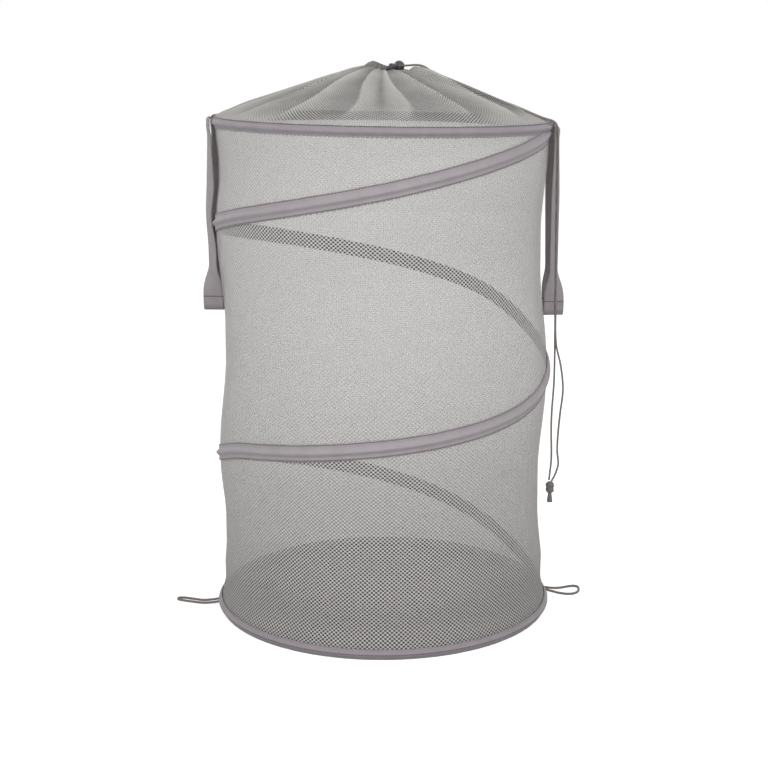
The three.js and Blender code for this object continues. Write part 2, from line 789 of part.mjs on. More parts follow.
// Rim: the top hoop, the cover and what hangs on them, tilted a little down to the right

const rim = new THREE.Group();
rim.position.z = topHoopHeight;
rim.rotation.y = rimTilt;
hamper.add(rim);
addPiece(rim, 'top_hoop_wire', hoopWire(0), 'wire');
addPiece(rim, 'top_crimp_sleeve', crimpSleeve(0), 'sleeve');
addPiece(rim, 'top_hoop_tape', ringSweep(
  fullTurn(),
  () => tapeProfile(0, hoopTapeHalfWidth, hoopTapeHalfWidth),
  true,
), 'tape');
addPiece(rim, 'drawstring_cover', ringSweep(fullTurn(), coverProfile, true), 'mesh');
addPiece(rim, 'neck_hem', ringSweep(neckAngles(hemSteps), hemProfile, false), 'tape');
addPiece(rim, 'neck_cord', neckCord(), 'cord');
for (const [name, side] of [['left', -1], ['right', 1]]) {
  addPiece(rim, `${name}_handle_front_end`, strapEnd(side, -1), 'strap');
  addPiece(rim, `${name}_handle_back_end`, strapEnd(side, 1), 'strap');
  const plumb = new THREE.Group();
  plumb.position.set(side * pivotReach, 0, -pivotDrop);
  plumb.rotation.y = -rimTilt;
  rim.add(plumb);
  const handle = addPiece(plumb, `${name}_handle`, handleStrap(), 'strap');
  handle.rotation.z = side > 0 ? 0 : Math.PI;
}

// Drawcord and its lock

for (const strand of ['a', 'b']) {
  const top = cordTube(strandRoutes[strand], cordDiameter, routeStep);
  const tail = cordTube(tailRoutes[strand], cordDiameter, routeStep);
  addPiece(hamper, `draw_cord_top_${strand}`, top, 'cord');
  addPiece(hamper, `draw_cord_tail_${strand}`, tail, 'cord');
}
const knot = addPiece(hamper, 'cord_knot', cordKnot(), 'cord');
knot.position.set(...knotPlace);

const lock = new THREE.Group();
lock.position.set(...lockPlace);
lock.rotation.set(0, -lockRise, -lockTurn, 'ZYX');
hamper.add(lock);
addPiece(lock, 'cord_lock_body', lockBody(), 'lock');
addPiece(lock, 'cord_lock_plunger', lockPlunger(), 'lock');
addPiece(lock, 'cord_lock_spring', lockSpring(), 'wire');

export default hamper;
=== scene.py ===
import math

import bmesh
import bpy
import numpy as np
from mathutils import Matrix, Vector


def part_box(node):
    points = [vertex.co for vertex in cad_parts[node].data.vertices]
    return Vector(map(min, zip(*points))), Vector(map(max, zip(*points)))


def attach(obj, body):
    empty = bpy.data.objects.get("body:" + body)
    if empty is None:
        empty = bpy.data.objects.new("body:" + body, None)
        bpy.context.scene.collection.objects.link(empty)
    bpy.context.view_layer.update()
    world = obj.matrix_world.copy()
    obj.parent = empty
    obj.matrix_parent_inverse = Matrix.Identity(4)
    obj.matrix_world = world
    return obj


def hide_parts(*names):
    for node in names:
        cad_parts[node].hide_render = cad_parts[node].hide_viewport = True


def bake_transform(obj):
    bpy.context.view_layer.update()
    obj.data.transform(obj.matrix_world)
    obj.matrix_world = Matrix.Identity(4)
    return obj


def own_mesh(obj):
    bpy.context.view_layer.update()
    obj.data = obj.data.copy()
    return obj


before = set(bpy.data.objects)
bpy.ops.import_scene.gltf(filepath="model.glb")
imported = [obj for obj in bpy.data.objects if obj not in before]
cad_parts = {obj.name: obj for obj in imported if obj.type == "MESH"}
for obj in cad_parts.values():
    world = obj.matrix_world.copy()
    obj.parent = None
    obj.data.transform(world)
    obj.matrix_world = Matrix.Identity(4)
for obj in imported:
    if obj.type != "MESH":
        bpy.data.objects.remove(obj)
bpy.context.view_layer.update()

mm = 0.001

# Pop-up laundry hamper: mesh on a coiled spring wire, under a drawstring cover.
# Lengths in the dictionaries are in millimetres unless they say otherwise.

print("stage: camera, floor and light")

photoView = {
    "place": (0.00243, -1.8298, 0.6765),
    "pitchDown": 8.11,
    "roll": 0.12,
    "lens": 71.8,
    "sensor": 36,
    "shiftUp": -0.1536,
}


def addCamera():
    lens = bpy.data.cameras.new("camera")
    lens.lens = photoView["lens"]
    lens.sensor_width = photoView["sensor"]
    lens.shift_y = photoView["shiftUp"]
    camera = bpy.data.objects.new("camera", lens)
    camera.location = photoView["place"]
    camera.rotation_euler = (
        math.radians(90 - photoView["pitchDown"]), math.radians(photoView["roll"]), 0,
    )
    bpy.context.scene.collection.objects.link(camera)
    bpy.context.scene.camera = camera


addCamera()
bpy.context.scene.view_settings.view_transform = "Standard"


# A socket of a material, so that shader maths reads as plain arithmetic
class Signal:
    def __init__(self, finish, socket):
        self.finish = finish
        self.socket = socket

    def __add__(self, other):
        return self.finish.maths("ADD", self, other)

    def __sub__(self, other):
        return self.finish.maths("SUBTRACT", self, other)

    def __mul__(self, other):
        return self.finish.maths("MULTIPLY", self, other)

    def __rsub__(self, other):
        return self.finish.maths("SUBTRACT", other, self)

    __radd__ = __add__
    __rmul__ = __mul__


# A material under construction
class Finish:
    def __init__(self, name, tree=None):
        if tree is None:
            self.material = bpy.data.materials.new(name)
            self.material.use_nodes = True
            tree = self.material.node_tree
        self.tree = tree
        self.tree.nodes.clear()

    def node(self, kind, settings=None, inputs=None, output=0):
        # settings come before the sockets' values, because some of them change which sockets there are
        made = self.tree.nodes.new(kind)
        for key, value in (settings or {}).items():
            setattr(made, key, value)
        for key, value in (inputs or {}).items():
            if isinstance(value, Signal):
                self.tree.links.new(value.socket, made.inputs[key])
            else:
                made.inputs[key].default_value = value
        return Signal(self, made.outputs[output]) if made.outputs else None

    def maths(self, operation, first, second=0.0):
        return self.node("ShaderNodeMath", {"operation": operation}, {0: first, 1: second})

    def wave(self, operation, value, cycles):
        return self.maths(operation, value * (2 * math.pi * cycles))

    def softStep(self, value, start, end):
        return self.node("ShaderNodeMapRange", {"interpolation_type": "SMOOTHSTEP"}, {
            "Value": value, "From Min": start, "From Max": end,
        })

    def place(self):
        return self.node("ShaderNodeTexCoord", output="Object")

    def unwrapped(self):
        return self.node("ShaderNodeUVMap", {"uv_map": "UVMap"})

    def axis(self, place, name):
        return self.node("ShaderNodeSeparateXYZ", {}, {0: place}, name)

    def noise(self, scale, detail):
        return self.node("ShaderNodeTexNoise", {}, {
            "Vector": self.place(), "Scale": scale, "Detail": detail,
        }, "Fac")

    def attribute(self, name):
        return self.node("ShaderNodeAttribute", {"attribute_name": name}, output="Fac")

    def blendColours(self, share, first, second):
        return self.node("ShaderNodeMix", {"data_type": "RGBA"}, {0: share, 6: first, 7: second}, 2)

    def bump(self, height, distance, strength):
        return self.node("ShaderNodeBump", {}, {
            "Height": height, "Distance": distance, "Strength": strength,
        })

    def surface(self, inputs):
        shader = self.node("ShaderNodeBsdfPrincipled", {}, inputs)
        self.node("ShaderNodeOutputMaterial", {}, {"Surface": shader})
        return self.material


def linear(red, green, blue):
    def channel(value):
        share = value / 255
        return share / 12.92 if share <= 0.04045 else ((share + 0.055) / 1.055) ** 2.4
    return (channel(red), channel(green), channel(blue), 1.0)


studio = {
    "roomLight": 0.58,
    "backdrop": 1.0,
    "floorSize": 9,
    "floorGlow": 0.62,
    "floorSeen": (0.8, 0.8, 0.8, 1),
    "floorBounce": (0.5, 0.5, 0.5, 1),
    "lampsFace": (0, 0, 0.3),
    "lamps": [
        {"place": (-0.2, -2.7, 1.5), "size": 1.3, "power": 27},
        {"place": (-1.7, -1.3, 1.2), "size": 1.2, "power": 9},
        {"place": (1.6, -1.7, 1.1), "size": 1.2, "power": 11},
        {"place": (0.4, 2.2, 1.6), "size": 1.6, "power": 7},
    ],
}


def addRoom():
    world = bpy.data.worlds.new("room")
    bpy.context.scene.world = world
    world.use_nodes = True
    room = Finish("room", world.node_tree)
    # white where it is seen, mirrored or seen through something, and dimmer where it only lights
    seen, mirrored, through = (
        room.node("ShaderNodeLightPath", output=f"Is {kind} Ray")
        for kind in ("Camera", "Glossy", "Transmission")
    )
    bright = room.maths("MAXIMUM", room.maths("MAXIMUM", seen, mirrored), through)
    level = bright * studio["backdrop"] + (1 - bright) * studio["roomLight"]
    glow = room.node("ShaderNodeBackground", {}, {"Color": (1, 1, 1, 1), "Strength": level})
    room.node("ShaderNodeOutputWorld", {}, {"Surface": glow})


def addLamp(number, lamp):
    bpy.ops.object.light_add(type="AREA", location=lamp["place"])
    light = bpy.context.object
    light.name = f"lamp_{number}"
    light.data.size = lamp["size"]
    light.data.energy = lamp["power"]
    aim = Vector(studio["lampsFace"]) - light.location
    light.rotation_euler = aim.to_track_quat("-Z", "Y").to_euler()


def addFloor():
    bpy.ops.mesh.primitive_plane_add(size=studio["floorSize"])
    floor = bpy.context.object
    floor.name = "floor"
    finish = Finish("floor_paper")
    bounce = finish.node("ShaderNodeBsdfDiffuse", {}, {"Color": studio["floorBounce"]})
    matt = finish.node("ShaderNodeBsdfDiffuse", {}, {"Color": studio["floorSeen"]})
    glow = finish.node("ShaderNodeEmission", {}, {"Strength": studio["floorGlow"]})
    seen = finish.node("ShaderNodeLightPath", output="Is Camera Ray")
    lit = finish.node("ShaderNodeAddShader", {}, {0: matt, 1: glow})
    paper = finish.node("ShaderNodeMixShader", {}, {0: seen, 1: bounce, 2: lit})
    finish.node("ShaderNodeOutputMaterial", {}, {"Surface": paper})
    floor.data.materials.append(finish.material)


def startPiece():
    if bpy.context.mode != "OBJECT":
        bpy.ops.object.mode_set(mode="OBJECT")
    bpy.ops.object.select_all(action="DESELECT")


startPiece()
addRoom()
addFloor()
for number, lamp in enumerate(studio["lamps"]):
    addLamp(number, lamp)

print("stage: finishes")


# The pitches, depths and strengths of the weaves and reliefs below are in metres or shares.
net = {
    "columns": 242, "wallRows": 135, "coverRows": 48, "holeEdge": 0.42,
    "farCover": 0.32, "farCoverShadeLow": 0.3,
    "wall": (linear(173, 170, 168), linear(203, 200, 198)),
    "cover": (linear(124, 121, 117), linear(219, 217, 214)),
    "mottle": (38, 3), "mottleShare": 0.3, "latticeLightShare": 0.15, "paintedLightShare": 0.55,
    "roughness": 0.8, "sheen": 0.1, "relief": (0.0004, 0.5),
}
hemNet = {
    "columns": 170, "rows": 9, "pleatLightShare": 0.45, "latticeLightShare": 0.5,
    "colours": (linear(100, 96, 92), linear(176, 172, 168)),
    "roughness": 0.82, "sheen": 0.1, "relief": (0.0003, 0.6),
}
weave = {
    "ribPitch": 0.0011, "threadPitch": 0.0009, "mottle": (60, 3), "mottleShare": 0.8,
    "ridgeLightShare": 0.12, "roughness": 0.72, "sheen": 0.25, "relief": (0.00012, 0.7),
}
stitch = {
    "pitch": 0.0034, "gap": -0.3, "half": 1.0, "core": 0.4, "seamShare": 0.45, "dashShare": 0.4,
    "thread": linear(84, 74, 78),
}
braid = {
    "grooveShadeShare": 0.75, "mottleShare": 0.25, "mottle": (160, 3),
    "colours": (linear(82, 76, 74), linear(132, 125, 120)),
    "roughness": 0.78, "sheen": 0.2, "fuzz": (2400, 2), "relief": (0.0001, 0.5),
}
panelWeave = {
    "pitch": 0.0012, "mottle": (24, 4), "colours": (linear(96, 90, 92), linear(117, 111, 112)),
    "roughness": 0.85, "sheen": 0.2, "relief": (0.00015, 0.6),
}
plastic = {
    "colours": (linear(62, 59, 62), linear(78, 75, 78)), "mottle": (120, 2), "polish": (300, 2),
    "roughness": 0.22, "uneven": 0.15, "grain": (900, 3), "relief": (0.00008, 0.5),
}
steel = {
    "colours": (linear(120, 122, 128), linear(160, 163, 168)), "streak": (700, 3),
    "roughness": 0.3, "uneven": 0.2, "relief": (0.00005, 0.4),
}


def netCloth(name, rows, colours, farSide):
    # The holes lie in a brick pattern, which follows the cloth and closes where it is gathered. A far
    # wall that shows through the near one blurs into an even veil; farSide says which side that is.
    finish = Finish(name)
    place = finish.unwrapped()
    columnWave = finish.wave("COSINE", finish.axis(place, "X"), net["columns"])
    rowWave = finish.wave("COSINE", finish.axis(place, "Y"), rows)
    lattice = columnWave * rowWave
    cover = finish.softStep(lattice + finish.attribute("gather"), -net["holeEdge"], net["holeEdge"])
    away = finish.node("ShaderNodeNewGeometry", output="Backfacing")
    if farSide == "front":
        away = 1 - away
    veil = finish.maths("MINIMUM", finish.attribute("veil"), 1.0)
    mottle = finish.noise(*net["mottle"])
    # Painted light: the tone is paler where the threads cross and darker at the holes' edges, and it
    # takes the painted light and shade that each piece writes for it
    tone = (
        mottle * net["mottleShare"] + lattice * net["latticeLightShare"]
        + finish.attribute("paintedLight") * net["paintedLightShare"]
    )
    return finish.surface({
        "Base Color": finish.blendColours(tone, *colours), "Roughness": net["roughness"],
        "Sheen Weight": net["sheen"], "Alpha": cover * (1 - away) + away * veil,
        "Normal": finish.bump(lattice, *net["relief"]),
    })


def netHem():
    # two layers of the net, gathered so tightly that no hole shows
    finish = Finish("gathered_net")
    place = finish.unwrapped()
    columnWave = finish.wave("SINE", finish.axis(place, "X"), hemNet["columns"])
    rowWave = finish.wave("SINE", finish.axis(place, "Y"), hemNet["rows"])
    lattice = columnWave * rowWave
    # painted light and shade: pale pleat crests, dark pleat folds, and dark dots where holes would show
    # the shaded inside
    tone = finish.attribute("ridgeLight") * hemNet["pleatLightShare"] + lattice * hemNet["latticeLightShare"]
    return finish.surface({
        "Base Color": finish.blendColours(tone, *hemNet["colours"]), "Roughness": hemNet["roughness"],
        "Sheen Weight": hemNet["sheen"], "Normal": finish.bump(lattice, *hemNet["relief"]),
    })


def bindingTape(name, low, high):
    finish = Finish(name)
    along = finish.attribute("along")
    ribs = finish.wave("SINE", along, 1 / weave["ribPitch"])
    threads = finish.wave("SINE", finish.attribute("across"), 1 / weave["threadPitch"])
    mottle = finish.noise(*weave["mottle"])
    # paler on a tape's crown over its wire and along a strap's edges: painted highlight
    tone = mottle * weave["mottleShare"] + finish.attribute("ridgeLight") * weave["ridgeLightShare"]
    tint = finish.blendColours(tone, low, high)
    # the stitches that hold the tape's edges, as short dark dashes on the seam lines
    dash = finish.maths("GREATER_THAN", finish.wave("SINE", along, 1 / stitch["pitch"]), stitch["gap"])
    seam = finish.softStep(finish.attribute("seam"), stitch["half"], stitch["half"] * stitch["core"])
    thread = seam * (dash * stitch["dashShare"] + stitch["seamShare"])
    return finish.surface({
        "Base Color": finish.blendColours(thread, tint, stitch["thread"]),
        "Roughness": weave["roughness"], "Sheen Weight": weave["sheen"],
        "Normal": finish.bump(ribs * threads, *weave["relief"]),
    })


def cordBraid():
    finish = Finish("cord_braid")
    mottle = finish.noise(*braid["mottle"])
    # darker in the braid's grooves and the knot's wraps, where the relief is low: painted shade
    tone = finish.attribute("relief") * braid["grooveShadeShare"] + mottle * braid["mottleShare"]
    return finish.surface({
        "Base Color": finish.blendColours(tone, *braid["colours"]), "Roughness": braid["roughness"],
        "Sheen Weight": braid["sheen"],
        "Normal": finish.bump(finish.noise(*braid["fuzz"]), *braid["relief"]),
    })


def panelCloth():
    finish = Finish("panel_cloth")
    place = finish.place()
    warp = finish.wave("SINE", finish.axis(place, "X"), 1 / panelWeave["pitch"])
    weft = finish.wave("SINE", finish.axis(place, "Y"), 1 / panelWeave["pitch"])
    mottle = finish.noise(*panelWeave["mottle"])
    return finish.surface({
        "Base Color": finish.blendColours(mottle, *panelWeave["colours"]),
        "Roughness": panelWeave["roughness"], "Sheen Weight": panelWeave["sheen"],
        "Normal": finish.bump(warp * weft, *panelWeave["relief"]),
    })


def mouldedPlastic():
    finish = Finish("lock_plastic")
    mottle = finish.noise(*plastic["mottle"])
    return finish.surface({
        "Base Color": finish.blendColours(mottle, *plastic["colours"]),
        "Roughness": finish.noise(*plastic["polish"]) * plastic["uneven"] + plastic["roughness"],
        "Normal": finish.bump(finish.noise(*plastic["grain"]), *plastic["relief"]),
    })


def drawnSteel():
    finish = Finish("drawn_steel")
    streak = finish.noise(*steel["streak"])
    return finish.surface({
        "Base Color": finish.blendColours(streak, *steel["colours"]), "Metallic": 1.0,
        "Roughness": streak * steel["uneven"] + steel["roughness"],
        "Normal": finish.bump(streak, *steel["relief"]),
    })


cloths = {
    "wallOuter": netCloth("wall_net_outside", net["wallRows"], net["wall"], "back"),
    "wallInner": netCloth("wall_net_inside", net["wallRows"], net["wall"], "front"),
    "coverOuter": netCloth("cover_net_outside", net["coverRows"], net["cover"], "back"),
    "coverInner": netCloth("cover_net_inside", net["coverRows"], net["cover"], "front"),
    "hem": netHem(),
    # one binding tape in copies of different brightness: painted light, paler on the coil's turns than on
    # the rim and the base
    "rimTape": bindingTape("rim_tape", linear(134, 127, 132), linear(160, 152, 158)),
    "coilTape": bindingTape("coil_tape", linear(150, 143, 147), linear(172, 165, 169)),
    "baseTape": bindingTape("base_tape", linear(133, 126, 131), linear(157, 150, 155)),
    # the tapes' inside face, darker as painted shade
    "tapeInsideShaded": bindingTape("binding_tape_inside_shaded", linear(80, 75, 78), linear(100, 94, 97)),
    "strap": bindingTape("strap_webbing", linear(140, 133, 136), linear(164, 157, 160)),
    "tab": bindingTape("tie_tab", linear(44, 40, 42), linear(66, 61, 63)),
    "panel": panelCloth(),
    "cord": cordBraid(),
    "lock": mouldedPlastic(),
    "steel": drawnSteel(),
}

print("stage: routes and shapes that the pieces share")

hoop = {
    "radius": 203.2, "topHeight": 588, "tilt": 1.04, "wireRing": 200.2, "wall": 198.65,
    "halfTape": 6, "wallAboveHoop": 2.1, "wallBottom": 1.3,
}
coil = {
    "turns": 2, "tableSteps": 1600, "wire": 2.5, "wireSteps": 720, "wireSides": 12, "halfTape": 9.8,
    "firstAngle": 3, "lastAngle": 718, "tuckOver": 20, "tuck": 2.6,
    "route": [
        (0, 1), (0.056, 0.955), (0.135, 0.884), (0.224, 0.815), (0.324, 0.734), (0.425, 0.63),
        (0.472, 0.549), (0.5, 0.51), (0.539, 0.463), (0.579, 0.434), (0.653, 0.398), (0.7, 0.371),
        (0.724, 0.345), (0.863, 0.184), (0.914, 0.119), (0.964, 0.041), (1, 0),
    ],
}
tilt = math.radians(hoop["tilt"])


def smooth(share, start, end):
    t = np.clip((share - start) / (end - start), 0, 1)
    return t * t * (3 - 2 * t)


def wallTop(angle):
    above = hoop["wallAboveHoop"] * math.cos(tilt)
    return hoop["topHeight"] + above - hoop["wall"] * np.cos(angle) * math.sin(tilt)


def hermite(t, start, end, leaving, arriving):
    # the cubic from start to end that has the slopes leaving and arriving at its ends
    return (
        start * (2 * t**3 - 3 * t**2 + 1) + leaving * (t**3 - 2 * t**2 + t)
        + end * (3 * t**2 - 2 * t**3) + arriving * (t**3 - t**2)
    )


def coilTable():
    # the coil's height at evenly spaced turns, from its route's points; turns are counted from the rim
    route = coil["route"]
    slopes = []
    for index in range(len(route)):
        before, after = route[max(index - 1, 0)], route[min(index + 1, len(route) - 1)]
        slopes.append((after[1] - before[1]) / (after[0] - before[0]))
    shares = np.linspace(0, 1, coil["tableSteps"] + 1)
    rises = []
    for share in shares:
        index = 0
        while index < len(route) - 2 and route[index + 1][0] < share:
            index += 1
        start, end = route[index], route[index + 1]
        span = end[0] - start[0]
        t = (share - start[0]) / span
        rises.append(hermite(t, start[1], end[1], slopes[index] * span, slopes[index + 1] * span))
    heights = hoop["wallBottom"] + np.array(rises) * (wallTop(0) - hoop["wallBottom"])
    return shares * coil["turns"], heights


coilTurns, coilHeights = coilTable()


def coilHeight(turns):
    return np.interp(turns, coilTurns, coilHeights)


def inRimFrame(points):
    # The rim's own frame leans down to the right about the middle of the top hoop
    x, y, z = points.T
    return np.stack([
        x * math.cos(tilt) + z * math.sin(tilt), y,
        hoop["topHeight"] - x * math.sin(tilt) + z * math.cos(tilt),
    ], axis=1)


def readPoints(piece):
    points = np.empty(len(piece.data.vertices) * 3)
    piece.data.vertices.foreach_get("co", points)
    return points.reshape(-1, 3) / mm


def writePoints(piece, points):
    piece.data.vertices.foreach_set("co", (np.asarray(points) * mm).ravel())
    piece.data.update()


def writeAttribute(piece, name, values):
    layer = piece.data.attributes.new(name, "FLOAT", "POINT")
    layer.data.foreach_set("value", np.asarray(values, dtype=float))


def nameActive(name):
    piece = bpy.context.object
    piece.name = name
    piece.data.name = name
    return piece


def chooseEdges(piece, wanted):
    bpy.ops.mesh.select_mode(type="EDGE")
    bpy.ops.mesh.select_all(action="DESELECT")
    built = bmesh.from_edit_mesh(piece.data)
    for edge in built.edges:
        edge.select = wanted(edge)
    bmesh.update_edit_mesh(piece.data)


def openTube(name, around, rows, radius, depth, caps="NOTHING"):
    # an upright tube of rows x around faces, whose rows are then laid along a shape
    startPiece()
    bpy.ops.mesh.primitive_cylinder_add(
        vertices=around, radius=radius * mm, depth=depth * mm, end_fill_type=caps,
        location=(0, 0, depth * mm / 2),
    )
    piece = nameActive(name)
    bpy.ops.object.transform_apply(location=True, rotation=True, scale=True)
    bpy.ops.object.mode_set(mode="EDIT")
    chooseEdges(piece, lambda edge: abs(edge.verts[0].co.z - edge.verts[1].co.z) > depth * mm / 2)
    bpy.ops.mesh.subdivide(number_cuts=rows - 1)
    bpy.ops.object.mode_set(mode="OBJECT")
    return piece


def gridSheet(name, along, across):
    # a flat sheet of along x across faces, from 0 to 1 both ways
    startPiece()
    bpy.ops.mesh.primitive_grid_add(
        x_subdivisions=along, y_subdivisions=across, size=mm, location=(mm / 2, mm / 2, 0),
    )
    piece = nameActive(name)
    bpy.ops.object.transform_apply(location=True, rotation=True, scale=True)
    return piece


def applied(piece, kind, **settings):
    bpy.context.view_layer.objects.active = piece
    modifier = piece.modifiers.new(kind.lower(), kind)
    for key, value in settings.items():
        setattr(modifier, key, value)
    bpy.ops.object.modifier_apply(modifier=modifier.name)


def shadeSmooth(piece):
    piece.data.polygons.foreach_set("use_smooth", [True] * len(piece.data.polygons))
    piece.data.update()


def finishPiece(piece, cloth, body, replaced):
    # A piece with no cloth named brings its own finishes, and one with no body is not attached to any.
    shadeSmooth(piece)
    if cloth:
        piece.data.materials.append(cloths[cloth])
    if body:
        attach(piece, body)
    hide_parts(replaced)


def foldDown(piece):
    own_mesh(piece)


print("stage: cords")

cord = {
    "diameter": 2.4, "tieDiameter": 3, "sides": 14, "curveSteps": 24, "ringStep": 0.75, "pathRings": 4,
    "plait": 3.4, "relief": 0.16,
    "topRoutes": {
        "a": [
            (14.5, 0.52, 654.78), (17.56, -2.05, 654.99), (23.68, -7.18, 655.41),
            (29.8, -12.32, 655.83), (35.92, -17.46, 656.25), (41.28, -21.95, 656.61),
            (48.4, -27.4, 655.1), (57, -32.2, 650), (70, -35, 643.8), (95, -38.6, 633.6),
            (130, -43.4, 618.8), (165, -47.4, 604), (188, -49.2, 595.4), (196.5, -50, 592.8),
            (200.6, -50.4, 590.4), (202.6, -50.6, 587), (203.1, -50.6, 583.6),
        ],
        "b": [
            (13.44, -1.99, 654.82), (15.89, -4.04, 654.99), (22.01, -9.18, 655.41),
            (28.13, -14.31, 655.83), (34.25, -19.45, 656.25), (39.61, -23.94, 656.61),
            (46.8, -29.6, 655), (55.6, -35, 649.8), (69, -38.2, 643.2), (94, -41.8, 633),
            (129, -46.6, 618.2), (164, -50.6, 603.4), (187.4, -52.4, 595), (196.2, -53.2, 592.4),
            (200.4, -53.5, 590), (202.5, -53.6, 586.8), (203.1, -53.6, 583.6),
        ],
    },
    "tailRoutes": {
        "a": [
            (203.1, -50.6, 583.2), (203.5, -50.6, 560), (203.3, -50.6, 500), (203.2, -50.6, 440),
            (203.4, -50.7, 380), (203.6, -50.8, 327), (203.2, -50.8, 284), (201, -50.8, 247),
            (200.6, -50.8, 228), (201.2, -50.8, 190), (199.6, -50.9, 172), (198.7, -51, 164),
        ],
        "b": [
            (203.1, -53.6, 583.2), (203.9, -53.6, 560), (203.8, -53.7, 500), (203.7, -53.8, 440),
            (203.7, -53.9, 380), (204.8, -54, 330), (210.6, -54, 304), (213.6, -54, 275),
            (210.7, -54, 247), (208.3, -54, 219), (207.8, -54, 200), (209.2, -53.9, 184),
            (205.4, -53.7, 171), (201.5, -53.5, 163.4),
        ],
    },
    "tieRoutes": {
        "left": [
            (-201.72, -28.71, 5.2), (-209, -27.7, 3.6), (-222, -24.2, 1.8), (-236, -19.6, 1.7),
            (-248, -15, 1.7), (-253.6, -11.4, 1.7), (-253.4, -6.8, 1.7), (-247.6, -6, 1.7),
            (-236, -9.8, 1.7), (-222, -14.6, 1.8), (-210, -17.6, 3.6), (-202.53, -18.79, 5.2),
        ],
        "right": [
            (202.48, 19.28, 5.2), (211, 21.4, 3.4), (222, 26, 1.8), (233, 31, 1.7),
            (240.6, 33.2, 1.7), (245.6, 30, 1.7), (246, 22, 1.7), (243.4, 12, 1.7), (237, 5.4, 1.7),
            (228, 4.6, 1.7), (218, 7.6, 2.2), (210, 9.8, 3.6), (203.05, 11.1, 5.2),
        ],
    },
}


def smoothRoute(route):
    # a centripetal curve through the route's points, sampled evenly, and its length
    points = [np.array(point, dtype=float) for point in route]
    points = [2 * points[0] - points[1]] + points + [2 * points[-1] - points[-2]]
    dense = []
    for before, start, end, after in zip(points, points[1:], points[2:], points[3:]):
        steps = ((before, start), (start, end), (end, after))
        gaps = [math.sqrt(np.linalg.norm(last - first)) for first, last in steps]
        leaving = ((start - before) / gaps[0] - (end - before) / (gaps[0] + gaps[1])
                   + (end - start) / gaps[1]) * gaps[1]
        arriving = ((end - start) / gaps[1] - (after - start) / (gaps[1] + gaps[2])
                    + (after - end) / gaps[2]) * gaps[1]
        for t in np.linspace(0, 1, cord["curveSteps"], endpoint=False):
            dense.append(hermite(t, start, end, leaving, arriving))
    dense.append(points[-2])
    dense = np.array(dense)
    along = np.concatenate([[0], np.cumsum(np.linalg.norm(np.diff(dense, axis=0), axis=1))])
    places = np.linspace(0, along[-1], round(along[-1] / cord["ringStep"]) + 1)
    return np.stack([np.interp(places, along, dense[:, axis]) for axis in range(3)], axis=1), along[-1]


def tubeFrames(line):
    # two directions square to the line at each of its points, carried along it without a twist
    tangents = np.gradient(line, axis=0)
    tangents /= np.linalg.norm(tangents, axis=1)[:, None]
    side = np.cross(tangents[0], (0, 0, 1) if abs(tangents[0][2]) < 0.9 else (1, 0, 0))
    sides = []
    for tangent in tangents:
        side = side - tangent * side.dot(tangent)
        side = side / np.linalg.norm(side)
        sides.append(side)
    sides = np.array(sides)
    return sides, np.cross(tangents, sides)


def tubeAlong(name, line, radiusAt, sides):
    # radiusAt(around, along) gives the radius in mm, and the relief, whose low places the braid's colour
    # darkens as painted shade
    rows = len(line) - 1
    piece = openTube(name, sides, rows, 1, rows, caps="NGON")
    points = readPoints(piece)
    level = np.clip(np.rint(points[:, 2]).astype(int), 0, rows)
    around = np.arctan2(points[:, 1], points[:, 0])
    across, up = tubeFrames(line)
    steps = np.linalg.norm(np.diff(line, axis=0), axis=1)
    along = np.concatenate([[0], np.cumsum(steps)])[level]
    radius, relief = radiusAt(around, along)
    writePoints(piece, line[level] + radius[:, None] * (
        np.cos(around)[:, None] * across[level] + np.sin(around)[:, None] * up[level]
    ))
    writeAttribute(piece, "relief", relief)
    return piece


def braidRadius(diameter):
    def radiusAt(around, along):
        turn = along * (2 * math.pi / cord["plait"])
        lays = [np.sin(2 * around + way * turn) for way in (1, -1)]
        relief = 0.5 + 0.5 * np.maximum(*(lay * np.abs(lay) for lay in lays))
        return diameter / 2 - cord["relief"] * (1 - relief), relief
    return radiusAt


def cordPiece(name, route, body, replaced, diameter, **facts):
    line, length = smoothRoute(route)
    piece = tubeAlong(name, line, braidRadius(diameter), cord["sides"])
    finishPiece(piece, "cord", body, replaced)
    path = [tuple(point * mm) for point in line[::cord["pathRings"]]] + [tuple(line[-1] * mm)]
    return piece


knot = {
    "place": (199.8, -52.1, 137.6), "radius": 5.2, "length": 25.2, "sides": 36, "rows": 72,
    "wrapFrom": (0.4, 0.5), "wraps": 3, "wrapLean": 1.1, "wrapDepth": 0.35,
    "threads": 9, "threadDepth": 0.25, "relief": 0.1, "leastRadius": 0.05,
    "outline": [
        (0.02, 1), (0.5, 0.976), (0.942, 0.881), (1, 0.77), (0.827, 0.698), (0.962, 0.595),
        (0.846, 0.5), (0.462, 0.437), (0.423, 0.381), (0.558, 0.175), (0.635, 0), (0.02, 0),
    ],
}


